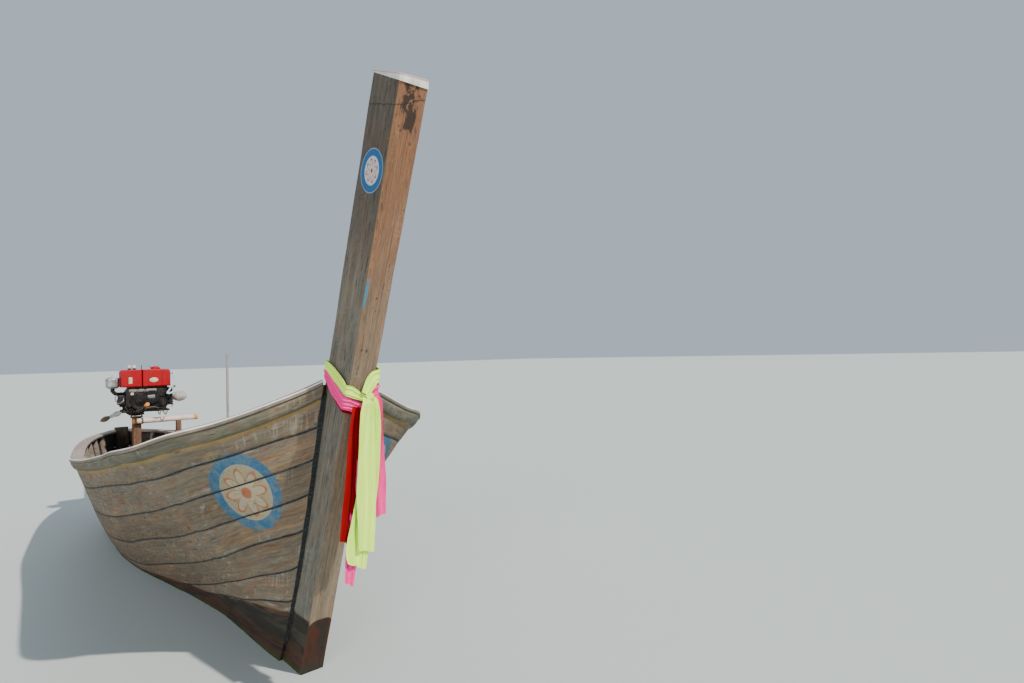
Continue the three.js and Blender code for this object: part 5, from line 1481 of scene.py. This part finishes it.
def beam_and_pole():
    """Pinkish round beam with painted ends in front of the engine post, and the thin pole."""
    draw = random.Random(3)
    along = np.linspace(0.035, 0.625, 40)
    profile = [(0.0, 0.028)] + [(d, 0.0297 + draw.uniform(-0.0005, 0.0003)) for d in along] + [(0.66, 0.028)]
    beam = Heap([turned(BEAM_AT, TO_PORT, profile, 30)])
    made = beam.make("beam_round", "hull", "pole_pink", "pole pink", ("engine_beam",), 40)
    plain_fields(made, 4)
    bands = Heap([turned(BEAM_AT + TO_PORT * y, TO_PORT, BEAM_BAND, 30) for y in (0.0, 0.634)])
    bands.make("beam_end_bands", "hull", "orange_grip", "orange", (), 40)
    rings = Heap([turned(BEAM_AT + TO_PORT * y, TO_PORT, BEAM_RING, 30) for y in (0.029, 0.616)])
    rings.make("beam_yellow_rings", "hull", "orange_grip", "yellow", (), 40)
    # The chock takes the dark post wood as painted shade: it stands where the hull's inside lies in shade
    # behind the beam.
    chock = Heap([rounded_box((-2.2016, 0.414, 0.9416), (-2.1476, 0.466, 1.075), 0.005),
                  rounded_box((-2.2056, 0.402, 0.9414), (-2.1436, 0.478, 0.955), 0.004)])
    made = chock.make("beam_chock", "hull", "wood_dark", "post wood", (), 40)
    plain_fields(made, 7)
    lashing = Heap([lashing_turn(y + turn * CORD_STEP) for y in (-0.002, 0.062) for turn in range(3)])
    lashing.make("beam_lashing", "hull", "rust", "brown rubber", (), 50)
    profile = [(0, 0.0128)]
    for h in np.linspace(0, 0.88, 30):
        profile.append((h + 0.001, 0.0128 - 0.001 * h + draw.uniform(-0.0002, 0.0002)))
    pole = Heap([turned((-1.1, 0.655, 0.9475), UP, profile + [(0.8825, 0.009)], 18)])
    pole.make("pole_round", "hull", "steel", "pole grey", ("upright_pole",), 40)


def engine():
    tanks()
    engine_block()
    head_and_pipes()
    tail_tube()
    propeller()
    tiller()
    mounting()
    beam_and_pole()


hull_pieces()
sashes()
engine()

FLOOR_REACH = 150.0
# How far the floor reaches into the planks, and how near it comes to the hull's middle line
FLOOR_LAP, FLOOR_NEAR = 0.012, 0.06


def floor_round_hull():
    """Points, edges and faces of the floor, open where the hull stands through it."""
    shares = np.linspace(0, 1, 400)
    edge = [(2.39, 0.0), (2.39, FLOOR_NEAR), (2.12, FLOOR_NEAR)]
    for v in np.linspace(0.2, LAST, 60):
        at = hull_at(np.full_like(shares, v), shares)
        x, y, _ = at[np.argmax(at[:, 2] > 0)]
        if x < edge[-1][0]:
            edge.append((x, max(y - FLOOR_LAP, FLOOR_NEAR)))
    edge.append((edge[-1][0] - 0.02, 0.0))
    points, faces = [], []
    for sign in (-1, 1):
        start = len(points)
        for x, y in edge:
            points += [(x, y * sign, 0), (x, FLOOR_REACH * sign, 0)]
        faces += [(start + 2 * k, start + 2 * k + 2, start + 2 * k + 3, start + 2 * k + 1)
                  for k in range(1, len(edge) - 1)]
        for x, far in ((edge[0][0], FLOOR_REACH), (edge[-1][0], -FLOOR_REACH)):
            start = len(points)
            points += [(x, 0, 0), (far, 0, 0), (far, FLOOR_REACH * sign, 0), (x, FLOOR_REACH * sign, 0)]
            faces.append((start, start + 1, start + 2, start + 3))
    return points, [], faces


# Angular size, strength, colour, place and aim of each lamp
LAMPS = {
    "sun": (0.02, 5.5, (1.0, 0.93, 0.82), (6.5, 1.8, 7.0), (0, 0, 0)),
    "bow fill": (0.6, 1.8, (1.0, 0.96, 0.9), (7.0, -8.0, 3.5), (0.5, 0, 0.9)),
    "back": (0.5, 0.6, (0.9, 0.95, 1.0), (-9.0, 2.0, 7.0), (-1.0, 0, 1.0)),
}
SKY_COLOUR, SKY_STRENGTH = (0.74, 0.86, 1.0, 1), 0.62


def turn_by(made, rotation):
    made.rotation_mode = "QUATERNION"
    made.rotation_quaternion = rotation


def stand_and_light():
    """Pale floor at the waterline, sun from the port bow, soft sky and two soft lamps."""
    mesh = bpy.data.meshes.new("floor")
    mesh.from_pydata(*floor_round_hull())
    mesh.materials.append(Finish("pale floor", Base_Color=(0.42, 0.47, 0.47), Roughness=0.9).material)
    linked("floor", mesh)
    world = bpy.data.worlds.new("soft sky")
    bpy.context.scene.world = world
    world.use_nodes = True
    sky = world.node_tree.nodes["Background"].inputs
    sky["Color"].default_value = SKY_COLOUR
    sky["Strength"].default_value = SKY_STRENGTH
    for name, (size, strength, colour, spot, aim) in LAMPS.items():
        light = bpy.data.lights.new(name, "SUN")
        light.energy = strength
        light.color = colour
        light.angle = size
        lamp = linked(name, light)
        lamp.location = spot
        turn_by(lamp, (Vector(aim) - Vector(spot)).to_track_quat("-Z", "Y"))


# The photo's camera: its eye, level heading, tilt up, roll and width of view
EYE = (5.706, -1.453, 1.75)
HEADING = Vector((-0.7373, 0.6756, 0)).normalized()
PITCH, ROLL = math.radians(1.196), math.radians(1.32)
FOCAL_PIXELS, PHOTO_PIXELS, SENSOR = 603.604, 1024, 36.0


def set_camera():
    ahead = HEADING * math.cos(PITCH) + Vector((0, 0, math.sin(PITCH)))
    right = Vector((HEADING.y, -HEADING.x, 0))
    across = right * math.cos(ROLL) - right.cross(ahead) * math.sin(ROLL)
    lens = bpy.data.cameras.new("camera")
    lens.sensor_width = SENSOR
    lens.lens = FOCAL_PIXELS / PHOTO_PIXELS * SENSOR
    camera = linked("camera", lens)
    turn_by(camera, Matrix((across, across.cross(ahead), -ahead)).transposed().to_quaternion())
    camera.location = EYE
    bpy.context.scene.camera = camera


stand_and_light()
set_camera()
